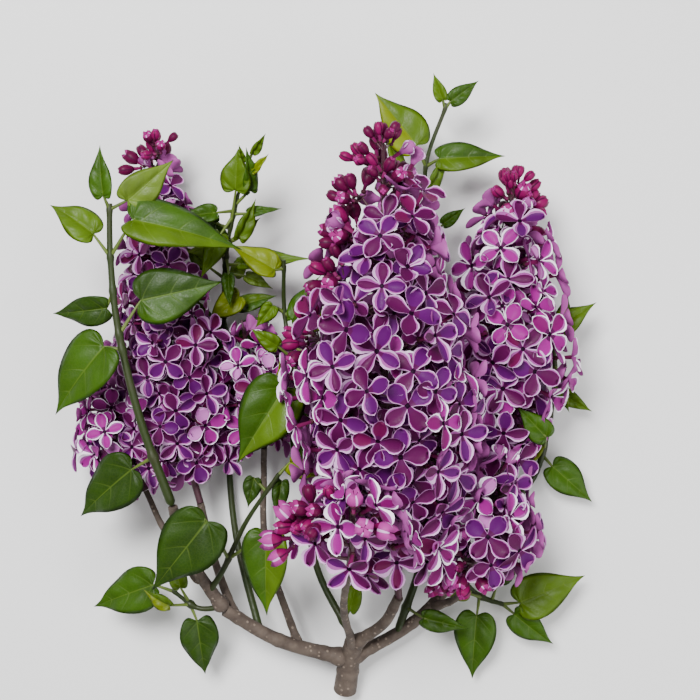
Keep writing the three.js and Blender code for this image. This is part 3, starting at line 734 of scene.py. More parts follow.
def node(tree, kind, inputs=None, **settings):
    """Adds a node: returns a wire from each of its outputs. An input is named or numbered, and
    takes a value or a wire."""
    made = tree.nodes.new(kind)
    for name, value in settings.items():
        setattr(made, name, value)
    for key, value in (inputs or {}).items():
        if isinstance(value, Wire):
            tree.links.new(value.socket, made.inputs[key])
        else:
            made.inputs[key].default_value = value
    return [Wire(socket) for socket in made.outputs]


def sum_up(operation, *values):
    """What a maths node makes of the values."""
    tree = next(value.tree for value in values if isinstance(value, Wire))
    return node(tree, "ShaderNodeMath", dict(enumerate(values)), operation=operation)[0]


class Wire:
    """What a node gives out. Sums on wires add the nodes that work them out."""

    def __init__(self, socket):
        self.socket, self.tree = socket, socket.id_data

    def __add__(self, other):
        return sum_up("ADD", self, other)

    def __sub__(self, other):
        return sum_up("SUBTRACT", self, other)

    def __rsub__(self, other):
        return sum_up("SUBTRACT", other, self)

    def __mul__(self, other):
        return sum_up("MULTIPLY", self, other)

    def __truediv__(self, other):
        return sum_up("DIVIDE", self, other)

    def __rtruediv__(self, other):
        return sum_up("DIVIDE", other, self)

    def ranged(self, low, high, start=0.0, end=1.0):
        """Runs from low to high while this runs from start to end."""
        inputs = {0: self, 1: start, 2: end, 3: low, 4: high}
        return node(self.tree, "ShaderNodeMapRange", inputs)[0]

    def blend(self, first, second):
        """The colour that lies this far from first to second."""
        inputs = {"Factor": self}
        for key, value in ((6, first), (7, second)):
            inputs[key] = value if isinstance(value, Wire) else (*value, 1)
        return node(self.tree, "ShaderNodeMix", inputs, data_type="RGBA")[2]

    def vector(self, operation, inputs, output=0):
        """What a vector maths node makes of this and its other inputs."""
        inputs = {0: self, **inputs}
        return node(self.tree, "ShaderNodeVectorMath", inputs, operation=operation)[output]

    def then(self, kind, inputs=None, **settings):
        """The geometry after a Geometry Nodes step."""
        inputs = {"Geometry": self, **(inputs or {})}
        return node(self.tree, "GeometryNode" + kind, inputs, **settings)[0]


def attribute(tree, name, data_type="FLOAT"):
    kind = "GeometryNodeInputNamedAttribute"
    return node(tree, kind, {"Name": name}, data_type=data_type)[0]


def equals(tree, name, number):
    """True where the whole number in the attribute is this one."""
    inputs = {2: attribute(tree, name, "INT"), 3: number}
    return node(tree, "FunctionNodeCompare", inputs, data_type="INT", operation="EQUAL")[0]


def empty_tree(name, sockets):
    """A Geometry Nodes tree with these inputs: returns it and its inputs by name."""
    tree = bpy.data.node_groups.new(name, "GeometryNodeTree")
    tree.is_modifier = True
    for way in ("INPUT", "OUTPUT"):
        tree.interface.new_socket("Geometry", in_out=way, socket_type="NodeSocketGeometry")
    for title, kind in sockets.items():
        tree.interface.new_socket(title, in_out="INPUT", socket_type=f"NodeSocket{kind}")
    return tree, {wire.socket.name: wire for wire in node(tree, "NodeGroupInput")}


def grown(name, mesh, tree, values):
    """The mesh as the tree grows it, as a plain object."""
    seedling = add_object(name + "_seed", mesh)
    modifier = seedling.modifiers.new("Grow", "NODES")
    modifier.node_group = tree
    for item in tree.interface.items_tree:
        if item.in_out == "INPUT" and item.name in values:
            modifier[item.identifier] = values[item.name]
    bpy.context.view_layer.update()
    graph = bpy.context.evaluated_depsgraph_get()
    result = bpy.data.meshes.new_from_object(
        seedling.evaluated_get(graph), preserve_all_data_layers=True, depsgraph=graph
    )
    seedling.modifiers.clear()
    bpy.data.objects.remove(seedling)
    for title in ("girth", "turn", "size", "form", "tint", "zone", "place"):
        if title in result.attributes:
            result.attributes.remove(result.attributes[title])
    result.name = name
    return add_object(name, result)


def stalk_tree(name, material, relief=False):
    """Grows round stalks along lines, as thick as their girth says, with bark's relief if asked."""
    sockets = {"Sides": "Int", "Relief": "Float", "Grain": "Float", "Seed": "Int"}
    tree, given = empty_tree(name, sockets)
    circle = {"Resolution": given["Sides"], "Radius": 1.0}
    tube = {
        "Curve": node(tree, "GeometryNodeMeshToCurve", {"Mesh": given["Geometry"]})[0],
        "Profile Curve": node(tree, "GeometryNodeCurvePrimitiveCircle", circle)[0],
        "Scale": attribute(tree, "girth") * MM,
        "Fill Caps": True,
    }
    shape = node(tree, "GeometryNodeCurveToMesh", tube)[0]
    if relief:
        pattern = {
            "Vector": node(tree, "GeometryNodeInputPosition")[0],
            "W": given["Seed"], "Scale": given["Grain"], "Detail": 3.0, "Roughness": 0.6,
        }
        ridges = node(tree, "ShaderNodeTexNoise", pattern, noise_dimensions="4D")[0]
        normal = node(tree, "GeometryNodeInputNormal")[0]
        offset = normal.vector("SCALE", {"Scale": (ridges - 0.5) * given["Relief"]})
        shape = shape.then("SetPosition", {"Offset": offset})
    shape = shape.then("SetShadeSmooth").then("RealizeInstances")
    node(tree, "NodeGroupOutput", {0: shape.then("SetMaterial", {"Material": material})})
    return tree


def pressed_flat(shape, depth=0.0015):
    """Presses what would reach into the floor flat against it."""
    tree = shape.tree
    place = node(tree, "GeometryNodeInputPosition")[0]
    x, y, z = node(tree, "ShaderNodeSeparateXYZ", {0: place})
    squeezed = sum_up("EXPONENT", (sum_up("MINIMUM", z, depth) - depth) / depth) * depth
    height = sum_up("MAXIMUM", squeezed, z)
    lifted = node(tree, "ShaderNodeCombineXYZ", {0: x, 1: y, 2: height})[0]
    return shape.then("SetPosition", {"Position": lifted})


def scatter_tree(name, forms, coats):
    """Sets a form on each point, by the point's turn, size and form. A coat is a material, its
    zone, and the tint it is for, or None for all."""
    sockets = {f"Form {k + 1}": "Object" for k in range(forms)}
    sockets |= dict.fromkeys(("Span", "Size Spread", "Tilt", "Cells"), "Float") | {"Seed": "Int"}
    tree, given = empty_tree(name, sockets)
    random, tilt, spread = "FunctionNodeRandomValue", given["Tilt"], given["Size Spread"]
    ends = {0: tilt * -1, 1: tilt, "Seed": given["Seed"]}
    tilt = node(tree, random, ends, data_type="FLOAT_VECTOR")[0]
    ends = {2: 1 - spread, 3: spread + 1, "Seed": given["Seed"]}
    spread = node(tree, random, ends)[1]
    turn = {
        "Rotation": attribute(tree, "turn", "QUATERNION"),
        "Rotate By": node(tree, "FunctionNodeEulerToRotation", {0: tilt})[0],
    }
    copies = {
        "Points": given["Geometry"],
        "Rotation": node(tree, "FunctionNodeRotateRotation", turn, rotation_space="LOCAL")[0],
        "Scale": attribute(tree, "size") * given["Span"] * spread,
    }
    joined = tree.nodes.new("GeometryNodeJoinGeometry")
    for k in range(forms):
        form = {"Object": given[f"Form {k + 1}"], "As Instance": True}
        copies["Instance"] = node(tree, "GeometryNodeObjectInfo", form)[-1]
        copies["Selection"] = equals(tree, "form", k)
        wire = node(tree, "GeometryNodeInstanceOnPoints", copies)[0]
        tree.links.new(wire.socket, joined.inputs[0])
    shape = pressed_flat(Wire(joined.outputs[0]).then("RealizeInstances"))
    # Each floret's part of the bake map goes to a cell of its own.
    place, cells = attribute(tree, "place"), given["Cells"]
    column, row = sum_up("MODULO", place, cells), sum_up("FLOOR", place / cells)
    cell = node(tree, "ShaderNodeCombineXYZ", {0: column, 1: row})[0]
    corner = attribute(tree, BAKE_MAP, "FLOAT_VECTOR").vector("ADD", {1: cell})
    flat = {"Name": BAKE_MAP, "Value": corner.vector("SCALE", {"Scale": 1 / cells})}
    shape = shape.then("StoreNamedAttribute", flat, data_type="FLOAT2", domain="CORNER")
    for material, zone, tint in coats:
        here = equals(tree, "zone", zone)
        if tint is not None:
            both = {0: here, 1: equals(tree, "tint", tint)}
            here = node(tree, "FunctionNodeBooleanMath", both)[0]
        shape = shape.then("SetMaterial", {"Selection": here, "Material": material})
    node(tree, "NodeGroupOutput", {0: shape})
    return tree


# ---------- small shapes ----------


class Form:
    """A small closed shape that is set out many times: points, faces and the zone of each face."""

    FACE_SHARE = 0.42  # half a face's side in the bake map, in cells

    def __init__(self):
        self.points, self.faces, self.zones, self.seams = [], [], [], []

    def add(self, points):
        first = len(self.points)
        self.points.extend(tuple(point) for point in points)
        return list(range(first, len(self.points)))

    def ring(self, radius, height, sides=6):
        """Adds points round the Z axis, and names the first again as the last."""
        turns = [2 * math.pi * k / sides for k in range(sides)]
        first, *rest = self.add(
            (radius * math.cos(turn), radius * math.sin(turn), height) for turn in turns
        )
        return [first, *rest, first]

    def face(self, zone, *corners):
        self.faces.append(corners)
        self.zones.append(zone)

    def strip(self, zone, low, high):
        """Faces from one row of points to the next."""
        for k in range(len(low) - 1):
            self.face(zone, low[k], low[k + 1], high[k + 1], high[k])

    def fan(self, zone, row, tip):
        """Faces from a row of points to one point."""
        for k in range(len(row) - 1):
            self.face(zone, row[k], row[k + 1], tip)

    def object(self, name):
        """The form as an object, with a map that gives each face a place of its own."""
        mesh = new_mesh(name, self.points, [], self.faces)
        store(mesh, "zone", self.zones, domain="FACE")
        mesh.shade_smooth()
        sharp = {tuple(sorted(edge)) for edge in self.seams}
        marks = [tuple(sorted(edge.vertices)) in sharp for edge in mesh.edges]
        store(mesh, "sharp_edge", marks, "BOOLEAN", "EDGE")
        flat = mesh.uv_layers.new(name=BAKE_MAP).uv
        across = math.ceil(math.sqrt(len(self.faces)))
        reach = self.FACE_SHARE * math.sqrt(2)
        for face in mesh.polygons:
            row, column = divmod(face.index, across)
            for k, corner in enumerate(face.loop_indices):
                turn = 2 * math.pi * (k + 0.5) / face.loop_total
                spot = np.array((column + 0.5, row + 0.5))
                spot += reach * np.array((math.cos(turn), math.sin(turn)))
                flat[corner].vector = spot / across
        return add_object(name, mesh)


def add_petal(form, sizes, turn, shape, draw, skin):
    """A closed, boat-shaped petal that points away from the throat."""
    reach = (0.5 - PETAL_FOOT) * shape.length * mix(0.94, 1.06, draw())
    half = sizes.petal_width / 2 * mix(0.92, 1.08, draw())
    climb = math.atan(shape.rise + 0.2 * (draw() - 0.5))
    bend = shape.bend + 0.16 * (draw() - 0.5)
    cup = shape.cup * mix(0.75, 1.25, draw())
    twist = 0.6 * (draw() - 0.5)
    left, right = (sizes.edge * shape.edge * mix(0.75, 1.7, draw() ** 2) for _ in range(2))
    turn += 0.2 * (draw() - 0.5)

    def spot(along, sideways, width, drop=0.0):
        y = sideways * width * half
        up = bend * reach * along**2 + cup * width * half * sideways**2 + twist * y * along - drop
        up += shape.hook / 2 * (max(0, along - HOOK_FROM) / (1 - HOOK_FROM)) ** 2
        x = PETAL_FOOT + along * reach * math.cos(climb) - up * math.sin(climb)
        z = along * reach * math.sin(climb) + up * math.cos(climb)
        return x * math.cos(turn) - y * math.sin(turn), x * math.sin(turn) + y * math.cos(turn), z

    columns = (-1, -1 + left, -1 + BLUSH * left, 0, 1 - BLUSH * right, 1 - right, 1)
    rows, unders = [], []
    for along, width in PETAL_OUTLINE:
        drop = sizes.thickness * mix(0.7, 1, along)
        row = form.add(spot(along, column, width) for column in columns)
        back = form.add(spot(along, column, width, drop) for column in BACK_COLUMNS)
        rows.append(row)
        unders.append((row[0], *back, row[-1]))
    inner, middle, tip = form.add(
        spot(1 - TIP_EDGE * sizes.edge * short, 0, 0) for short in (BLUSH, 1, 0)
    )
    zones = (RIM, BLUSHED, skin, skin, BLUSHED, RIM)
    for k, (low, high) in enumerate(zip(rows, rows[1:])):
        for column, zone in enumerate(zones):
            zone = HEART if k == 0 and zone == skin else zone
            form.face(zone, low[column], high[column], high[column + 1], low[column + 1])
        form.strip(BACK, unders[k], unders[k + 1])
        form.seams += [(low[0], high[0]), (low[-1], high[-1])]
    last, ends = rows[-1], (tip, middle, inner, inner, inner, middle, tip)
    for column, zone in enumerate(zones):
        beyond = dict.fromkeys(ends[column : column + 2])
        form.face(zone, last[column], *beyond, last[column + 1])
    form.fan(BACK, unders[-1], tip)
    form.seams += [(last[0], tip), (last[-1], tip), *zip(rows[0], rows[0][1:])]
    form.face(BACK, *rows[0], *unders[0][-2:0:-1])


def add_tube(form, top, foot, width):
    """The tube under a floret or bud, and the calyx that holds it: returns the tube's mouth."""
    mouth, waist, rim, cup = (
        form.ring(width * wide, mix(top, foot, down)) for wide, down in TUBE_RINGS
    )
    form.strip(TUBE, waist, mouth)
    form.strip(CALYX, cup, rim)
    form.strip(CALYX, rim, waist)
    form.fan(CALYX, cup[::-1], *form.add([(0, 0, foot)]))
    return mouth


def floret_form(name, sizes, shape, seed):
    """An open floret with four petals, that looks along +Z from the throat at the origin."""
    draw = seeded(seed)
    form = Form()
    for k in range(4):
        add_petal(form, sizes, math.pi * (k + 0.5) / 2, shape, draw, UPPER if k < 2 else LOWER)
    mouth = add_tube(form, top=-0.004, foot=-TUBE_SHARE, width=0.04)
    # The throat closes the tube's mouth with a shallow fan, painted near black as the shade in its
    # hollow.
    form.fan(THROAT, mouth, *form.add([(0, 0, -THROAT_DEPTH)]))
    return form.object(name)


def bud_form(name, sizes, parted, pale_from, fullness):
    """A bud on its tube, in shares of its own length: four petals that close at the top, or stand
    a little parted, and are pale from one of its rings on."""
    form = Form()
    half = sizes.bud_width / sizes.bud_length / 2 * fullness
    parts = (-SEAM_ANGLE, SEAM_ANGLE, math.pi / 4)
    turns = [quarter * math.pi / 2 + part for quarter in range(4) for part in parts]
    rings = []
    for along, width in BUD_OUTLINE:
        points = []
        for k, turn in enumerate(turns):
            on_petal = k % 3 == 2
            reach = half * width * (1 + parted * along**3 if on_petal else mix(1, 0.8, along))
            rise = along + (BUD_PEAK + parted) * along**4 * on_petal
            points.append((reach * math.cos(turn), reach * math.sin(turn), rise))
        ring = form.add(points)
        rings.append([*ring, ring[0]])
    pit = form.add([(0, 0, BUD_PIT - parted)])[0]
    for number, (low, high) in enumerate(zip(rings, rings[1:])):
        seam, petal = (RIM, TIP) if number >= pale_from else (SEAM, UPPER)
        for k in range(len(turns)):
            form.face(petal if k % 3 else seam, low[k], low[k + 1], high[k + 1], high[k])
    for k in range(len(turns)):
        form.face(TIP if k % 3 else SEAM, rings[-1][k], rings[-1][k + 1], pit)
    form.face(TUBE, *rings[0][-2::-1])
    form.face(TUBE, *add_tube(form, top=0.03, foot=-BUD_TUBE, width=0.115)[:-1])
    return form.object(name)


# ---------- materials ----------

# What a noise mostly runs over, for plain and for bold grain.
MIDDLE_THIRD, MIDDLE_HALF = (0.35, 0.65), (0.3, 0.7)
RINGS_IN_WOOD = 6500  # radians of ring for a metre of wood
PITH_EDGE, BARK_EDGE = (0.0009, 0.0014), (0.0052, 0.0056)  # metres from the cut face's middle


class Skin:
    """A material in the making, with its shader and the object coordinates."""

    def __init__(self, name, base, rough, specular=0.5):
        self.material = bpy.data.materials.new(name)
        self.material.use_nodes = True
        self.material.diffuse_color = (*base, 1)
        self.tree = self.material.node_tree
        self.tree.nodes.clear()
        inputs = {"Base Color": (*base, 1), "Roughness": rough, "Specular IOR Level": specular}
        surface = node(self.tree, "ShaderNodeBsdfPrincipled", inputs)[0]
        self.shader = surface.socket.node
        node(self.tree, "ShaderNodeOutputMaterial", {0: surface})
        self.place = node(self.tree, "ShaderNodeTexCoord")[3]  # in the piece's own coordinates

    def noise(self, scale, detail=3):
        inputs = {"Vector": self.place, "Scale": scale, "Detail": detail}
        return node(self.tree, "ShaderNodeTexNoise", inputs)[0]

    def cells(self, scale, feature="F1"):
        """How far the middle of a cell lies, or its edge."""
        inputs = {"Vector": self.place, "Scale": scale}
        return node(self.tree, "ShaderNodeTexVoronoi", inputs, feature=feature)[0]

    def feed(self, title, wire):
        self.tree.links.new(wire.socket, self.shader.inputs[title])

    def grained(self, grain, rough, span, strength, depth, height=None):
        """The material, as rough as the grain says over its span, and with the relief of the
        height or else of the grain."""
        self.feed("Roughness", grain.ranged(*rough, *span))
        inputs = {"Height": height or grain, "Strength": strength, "Distance": depth}
        self.feed("Normal", node(self.tree, "ShaderNodeBump", inputs)[0])
        return self.material


def petal_skin(name, base, rough=0.5):
    """Soft petal skin: a plain colour, with fine cells in its gloss and relief."""
    skin = Skin(name, base, rough, specular=0.12)
    rough = (rough - 0.1, rough + 0.1)
    return skin.grained(skin.noise(1500), rough, MIDDLE_THIRD, strength=0.25, depth=0.0001)


def stalk_skin(name, base):
    """A fine stalk's skin, with pores."""
    skin = Skin(name, base, 0.55)
    return skin.grained(skin.noise(900), (0.45, 0.65), MIDDLE_THIRD, strength=0.4, depth=0.0002)


def leaf_skin(name, base, vein):
    """A leaf's skin: its tint in cloudy patches, with paler veins sunk into it."""
    skin = Skin(name, base, 0.45, specular=0.18)
    flat = node(skin.tree, "ShaderNodeUVMap", uv_map=BLADE_MAP)[0]
    along, out, _ = node(skin.tree, "ShaderNodeSeparateXYZ", {0: flat})
    midrib = out.ranged(1, 0, 0.015, 0.05)
    beside = sum_up("PINGPONG", along * SIDE_VEINS, 0.5) / out.ranged(0.06, 0.025)
    side = (1 - sum_up("MINIMUM", beside, 1)) * out.ranged(0.8, 0.15)
    veins = sum_up("MAXIMUM", midrib, side)
    net = skin.cells(700, "DISTANCE_TO_EDGE").ranged(0.16, 0, 0, 0.14)
    clouds = skin.noise(60).ranged(0, 1, 0.3, 0.7)
    dark, light = (tuple(min(1, part * deal) for part in base) for deal in (0.7, 1.2))
    pattern = sum_up("MAXIMUM", veins, net) * out.ranged(0.4, 0, 0.8, 0.97)
    skin.feed("Base Color", pattern.blend(clouds.blend(dark, light), vein))
    fine = skin.noise(1200, 2)
    relief = fine * 0.2 - veins - net
    return skin.grained(fine, (0.36, 0.54), MIDDLE_HALF, strength=0.5, depth=0.0003, height=relief)


def stem_skin(name, base, ripe):
    """A green stem's skin, ripening to brown in streaks."""
    skin = Skin(name, base, 0.5, specular=0.3)
    skin.feed("Base Color", skin.noise(90).ranged(0, 0.7, 0.45, 0.75).blend(base, ripe))
    return skin.grained(skin.noise(800), (0.42, 0.6), MIDDLE_THIRD, strength=0.4, depth=0.0002)


def bark_skin(name, base, pale):
    """Bark in brown and grey patches, with pale raised pores."""
    skin = Skin(name, base, 0.8)
    worn = tuple(mix(a, b, 0.4) for a, b in zip(base, pale))
    patches = skin.noise(160, 4).ranged(0, 1, 0.35, 0.7).blend(base, worn)
    pores = skin.cells(330).ranged(1, 0, 0.16, 0.24)
    skin.feed("Base Color", pores.blend(patches, pale))
    cracks = skin.noise(620, 4)
    relief = cracks + pores * 0.6
    return skin.grained(
        cracks, (0.68, 0.92), MIDDLE_HALF, strength=0.7, depth=0.0006, height=relief
    )


def cut_wood(name, base, bark):
    """Fresh wood with faint rings round a dark pith."""
    skin = Skin(name, base, 0.7)
    out = skin.place.vector("DISTANCE", {1: tuple(placed(CUT_FACE))}, 1)
    reach = out + skin.noise(250, 2) * 0.0006
    rings = sum_up("SINE", reach * RINGS_IN_WOOD).ranged(0, 0.45, -0.2, 1)
    grain = rings.blend(base, tuple(0.55 * part for part in base))
    grain = reach.ranged(1, 0, *PITH_EDGE).blend(grain, tuple(2 * part for part in bark))
    skin.feed("Base Color", reach.ranged(0, 1, *BARK_EDGE).blend(grain, bark))
    fibres = skin.noise(1800, 2)
    return skin.grained(fibres, (0.6, 0.8), MIDDLE_HALF, strength=0.5, depth=0.0002)


# ---------- limbs and leaves ----------

BARK_GAP, STEM_GAP = 1.1, 1.6  # from one ring of a limb or stem to the next
KNOT_GAP = 23  # from one swelling of a limb to the next
FLARE_REACH = 3.5  # from a limb's foot to the thickest part of its flare
LEAF_SEED, YOUNG_SEED = 101, 301
# A young leaf is tried this often, and keeps this far from limbs, leaves and the floor's level,
# and out of this much of a panicle's radius.
TRIES, LEAF_GAP, LEAF_LEVEL, LEAF_SHARE = 80, 2.5, 3, 0.85


def finish_piece(made, solid):
    """Rides the piece on the plant and lets it stand for its solid."""
    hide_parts(solid)
    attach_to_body(made, "root")


def thick_line(limb, gap, swell):
    """Points and radii along a limb, a gap apart. Swell gives its thickness at a reach from its
    foot, as a share of its even taper."""
    course = limb.course()
    rings = max(8, round(course.length / gap))
    shares = [k / rings for k in range(rings + 1)]
    radii = [mix(*limb.radii, share) * swell(share * course.length) for share in shares]
    return course.points(shares), radii


def tapered(course, foot, tip, steps):
    """Points and radii along a line that thins evenly from its foot to its tip."""
    shares = np.linspace(0, 1, steps)
    return course.points(shares), mix(foot, tip, shares)


def grow_bark(scene):
    sizes, tints = scene.lilac_bark, scene.lilac_colours
    skin = bark_skin("bark", tints.bark, tints.bark_pale)
    tree = stalk_tree("bark_on_a_limb", skin, relief=True)
    titles = ("sides", "relief", "grain", "seed")
    values = {title.title(): getattr(sizes, title) for title in titles}

    def knots(reach):
        """Faint swellings at a limb's joints."""
        return 1 + 0.09 * hump(reach % KNOT_GAP - KNOT_GAP / 2, 1.4)

    def sprung(reach):
        """The same, on a limb that flares where it springs from another."""
        flare = sizes.flare * hump(reach - FLARE_REACH, FLARE_REACH)
        return knots(reach) * (1 + flare - 0.5 * hump(reach, 1))

    for name, limb in LIMBS.items():
        line = thick_line(limb, BARK_GAP, knots if name == "main_stem" else sprung)
        piece = grown("bark_" + name, line_mesh(name, [line]), tree, values)
        if name == "main_stem":
            piece.data.materials.append(cut_wood("cut_wood", tints.cut_wood, tints.bark))
            middle = Vector(placed(CUT_FACE))
            foot = min(piece.data.polygons, key=lambda face: (face.center - middle).length)
            foot.material_index = len(piece.data.materials) - 1
            foot.use_smooth = False
        finish_piece(piece, name)


class Blade:
    """A heart-shaped leaf: folded along its midrib, curled, quilted between its side veins."""

    def __init__(self, root, leaf, sizes, draw):
        self.root = root
        self.along, self.left, self.face = leaf.frame()
        _, self.length, self.width = leaf.blade
        self.fold, self.curl = math.radians(leaf.fold), math.radians(leaf.curl)
        self.quilting = sizes.quilting / MM
        self.thickness = sizes.thickness / MM
        self.wave = sizes.wave * self.width * mix(0.6, 1.6, draw())
        self.phases = [2 * math.pi * draw() for _ in range(2)]
        self.sway = 0.06 * (draw() - 0.5)
        self.edge = Course.through([(*point, 0) for point in LEAF_OUTLINE])

    def spot(self, row, column, drop=0.0):
        """A point of the blade: row runs from stalk to tip along the edge, column from -1 to 1."""
        share, half, _ = self.edge.at(row)
        out = abs(column)
        half *= self.width / 2
        share = mix(max(0, share - VEIN_SLOPE * half / self.length), share, out**1.25)
        half *= out
        bend = self.curl * share
        reach = self.length * math.sin(bend) / self.curl
        sink = self.length * (1 - math.cos(bend)) / self.curl
        puff = abs(math.sin(math.pi * row * SIDE_VEINS)) * math.sin(math.pi * out) * self.quilting
        turn = 2 * math.pi * EDGE_WAVES * row + self.phases[column > 0]
        rim = math.sin(math.pi * min(1, row * 1.02))
        rise = half * math.sin(self.fold) * mix(1, 0.55, out)
        rise += (puff + self.wave * out**3 * math.sin(turn)) * rim
        side = math.copysign(half, column) * math.cos(self.fold)
        side += self.sway * self.length * share**2
        return self.root + self.along * reach + self.face * (rise - sink - drop) + self.left * side

    def spread(self):
        """Points spread over the blade, to judge the room round it."""
        columns = (-0.95, -0.5, 0, 0.5, 0.95)
        return [self.spot(row, column) for row in np.linspace(0.1, 0.95, 9) for column in columns]


def leaf_mesh(name, blades, tints):
    """Leaves as one mesh, and the skin of each face. Each blade has an upper and an under side
    that share its edge."""
    points, faces, skins, flats, veins = [], [], [], [], []
    rows = SIDE_VEINS * ROWS_PER_VEIN
    columns = [k / BLADE_COLUMNS for k in range(-BLADE_COLUMNS, BLADE_COLUMNS + 1)]
    wide = len(columns)
    cells = math.ceil(math.sqrt(2 * len(blades)))
    for number, (blade, tint) in enumerate(zip(blades, tints)):
        # A blade whose halves take two tints is painted lit on the one half and shaded on the
        # other.
        halves = tint.split()
        for under in (False, True):
            row, column = divmod(2 * number + under, cells)
            corner, first = np.array((column, row)) + MARGIN, len(points)
            for r in range(rows + 1):
                for out in columns:
                    rim = math.sin(math.pi * r / rows) ** 0.5
                    drop = blade.thickness * (1 - abs(out) ** 3) * rim if under else 0.0
                    points.append(blade.spot(r / rows, out, drop))
            for r in range(rows):
                for c in range(wide - 1):
                    at = [(r, c), (r + 1, c), (r + 1, c + 1), (r, c + 1)]
                    if under:
                        at = [at[0], at[3], at[2], at[1]]
                    faces.append([first + i * wide + j for i, j in at])
                    skins.append("under" if under else halves[-1 if c < BLADE_COLUMNS else 0])
                    spots = np.array([(i / rows, j / (wide - 1)) for i, j in at])
                    flats.extend((corner + (1 - 2 * MARGIN) * spots) / cells)
                    veins.extend((i / rows, abs(columns[j])) for i, j in at)
    mesh = new_mesh(name, placed(points), [], faces)
    for title, spots in ((BAKE_MAP, flats), (BLADE_MAP, veins)):
        flat = mesh.uv_layers.new(name=title).uv
        flat.foreach_set("vector", np.array(spots, np.float32).ravel())
    return mesh, skins


def closed_up(mesh, reach=2e-6):
    """Merges points that lie together, and drops the faces that this leaves without an area."""
    work = bmesh.new()
    work.from_mesh(mesh)
    bmesh.ops.remove_doubles(work, verts=work.verts, dist=reach)
    work.to_mesh(mesh)
    work.free()
    mesh.shade_smooth()


def young_leaf(draw):
    """The measures of a young leaf, somewhere on the upper half of a shoot."""
    heading, reach = 360 * draw(), mix(13, 23, draw())
    return Leaf(
        at=mix(0.52, 0.9, draw()),
        stalk=(heading, mix(6, 11, draw()), mix(0, 7, draw())),
        blade=(heading + 50 * (draw() - 0.5), reach, reach * mix(0.5, 0.62, draw())),
        rise=mix(-6, 22, draw()),
        roll=60 * (draw() - 0.5),
        fold=mix(16, 34, draw()),
        curl=mix(4, 30, draw()),
        tint=YOUNG_TINTS[int(len(YOUNG_TINTS) * draw())],
    )


def in_the_way(shoots, sizes):
    """Points on the limbs, stems and leaves, that florets, buds and young leaves keep clear of."""
    points = []
    for limb in (*LIMBS.values(), *shoots.values()):
        course = limb.course()
        points += course.points(np.linspace(0, 1, max(6, int(course.length / 3))))
        for leaf in limb.leaves:
            attach, root = leaf.foot(course)
            points += [mix(attach, root, part) for part in (0.3, 0.6, 1.0)]
            points += Blade(root, leaf, sizes, seeded(1)).spread()
    return points


@cache
def all_shoots():
    """Every shoot with its large leaves, and its young ones where there is room for them."""
    sizes = bpy.context.scene.lilac_shoots
    ready = {name: shoot._replace(leaves=[*shoot.leaves]) for name, shoot in SHOOTS.items()}
    taken, masses = np.array(in_the_way(ready, sizes)), PANICLES.values()
    for number, (name, wanted) in enumerate(YOUNG_LEAVES.items()):
        leaves, course = ready[name].leaves, ready[name].course()
        draw = seeded(YOUNG_SEED + number)
        most = len(leaves) + wanted
        for _ in range(TRIES * wanted):
            leaf = young_leaf(draw)
            points = np.array(Blade(leaf.foot(course)[1], leaf, sizes, seeded(1)).spread())
            gap = np.linalg.norm(taken[:, None] - points, axis=2).min()
            clear = gap > LEAF_GAP and points[:, 2].min() > LEAF_LEVEL - SET_DOWN[2] / MM
            inside = (mass.holds(at, LEAF_SHARE) for mass in masses for at in points[::4])
            if clear and not any(inside):
                leaves.append(leaf)
                taken = np.vstack([taken, points])
            if len(leaves) == most:
                break
    return ready


def grow_leaves(scene):
    sizes, tints = scene.lilac_shoots, scene.lilac_colours
    # Three of these bases are painted light and shade on the green; the under side is the leaves'
    # own colour.
    bases = {name: getattr(tints, name) for name in ("deep", "green", "bright", "yellow", "pale")}
    bases["under"] = tuple(mix(a, b, 0.5) for a, b in zip(tints.green, tints.pale))
    skins = {name: leaf_skin("leaf_" + name, base, tints.vein) for name, base in bases.items()}
    for number, (name, shoot) in enumerate(all_shoots().items()):
        course, draw = shoot.course(), seeded(LEAF_SEED + number)
        blades = [Blade(leaf.foot(course)[1], leaf, sizes, draw) for leaf in shoot.leaves]
        mesh, faces = leaf_mesh("leaves_" + name, blades, [leaf.tint for leaf in shoot.leaves])
        used = sorted(set(faces))
        for skin in used:
            mesh.materials.append(skins[skin])
        mesh.polygons.foreach_set("material_index", [used.index(skin) for skin in faces])
        closed_up(mesh)
        finish_piece(add_object("leaves_" + name, mesh), "shoot_" + name)


def shoot_lines(shoot, sizes):
    """A shoot's stem, with a swelling under each pair of leaves, and the stalks of its leaves."""
    course = shoot.course()
    joints = sorted({leaf.at * course.length for leaf in shoot.leaves})

    def swell(reach):
        share = 1 - 0.5 * hump(reach, 1)
        for joint in joints:
            share *= 1 + sizes.swelling * hump(reach - joint, 1.8)
        return share

    lines, radius = [thick_line(shoot, STEM_GAP, swell)], sizes.stalk / MM
    for leaf in shoot.leaves:
        attach, root = leaf.foot(course)
        along, _, face = leaf.frame()
        stalk = Course.through([attach, root - face * 0.5, root + along * 2 - face * 0.9])
        lines.append(tapered(stalk, 1.25 * radius, 0.55 * radius, 11))
    return lines


def grow_stems(scene):
    sizes, tints = scene.lilac_shoots, scene.lilac_colours
    ripe = tuple(mix(a, b, 0.5) for a, b in zip(tints.stem, tints.bark))
    skins = {
        "stem": stem_skin("green_stem", tints.stem, ripe),
        "leaf_stalks": stem_skin("leaf_stalk", tints.leaf_stalk, tints.stem),
    }
    trees = {kind: stalk_tree(kind, skin) for kind, skin in skins.items()}
    for name, shoot in all_shoots().items():
        stem, *stalks = shoot_lines(shoot, sizes)
        for kind, lines in (("stem", [stem]), ("leaf_stalks", stalks)):
            mesh = line_mesh(kind, lines)
            piece = grown(f"{kind}_{name}", mesh, trees[kind], {"Sides": sizes.sides})
            finish_piece(piece, "shoot_" + name)


# ---------- panicles ----------

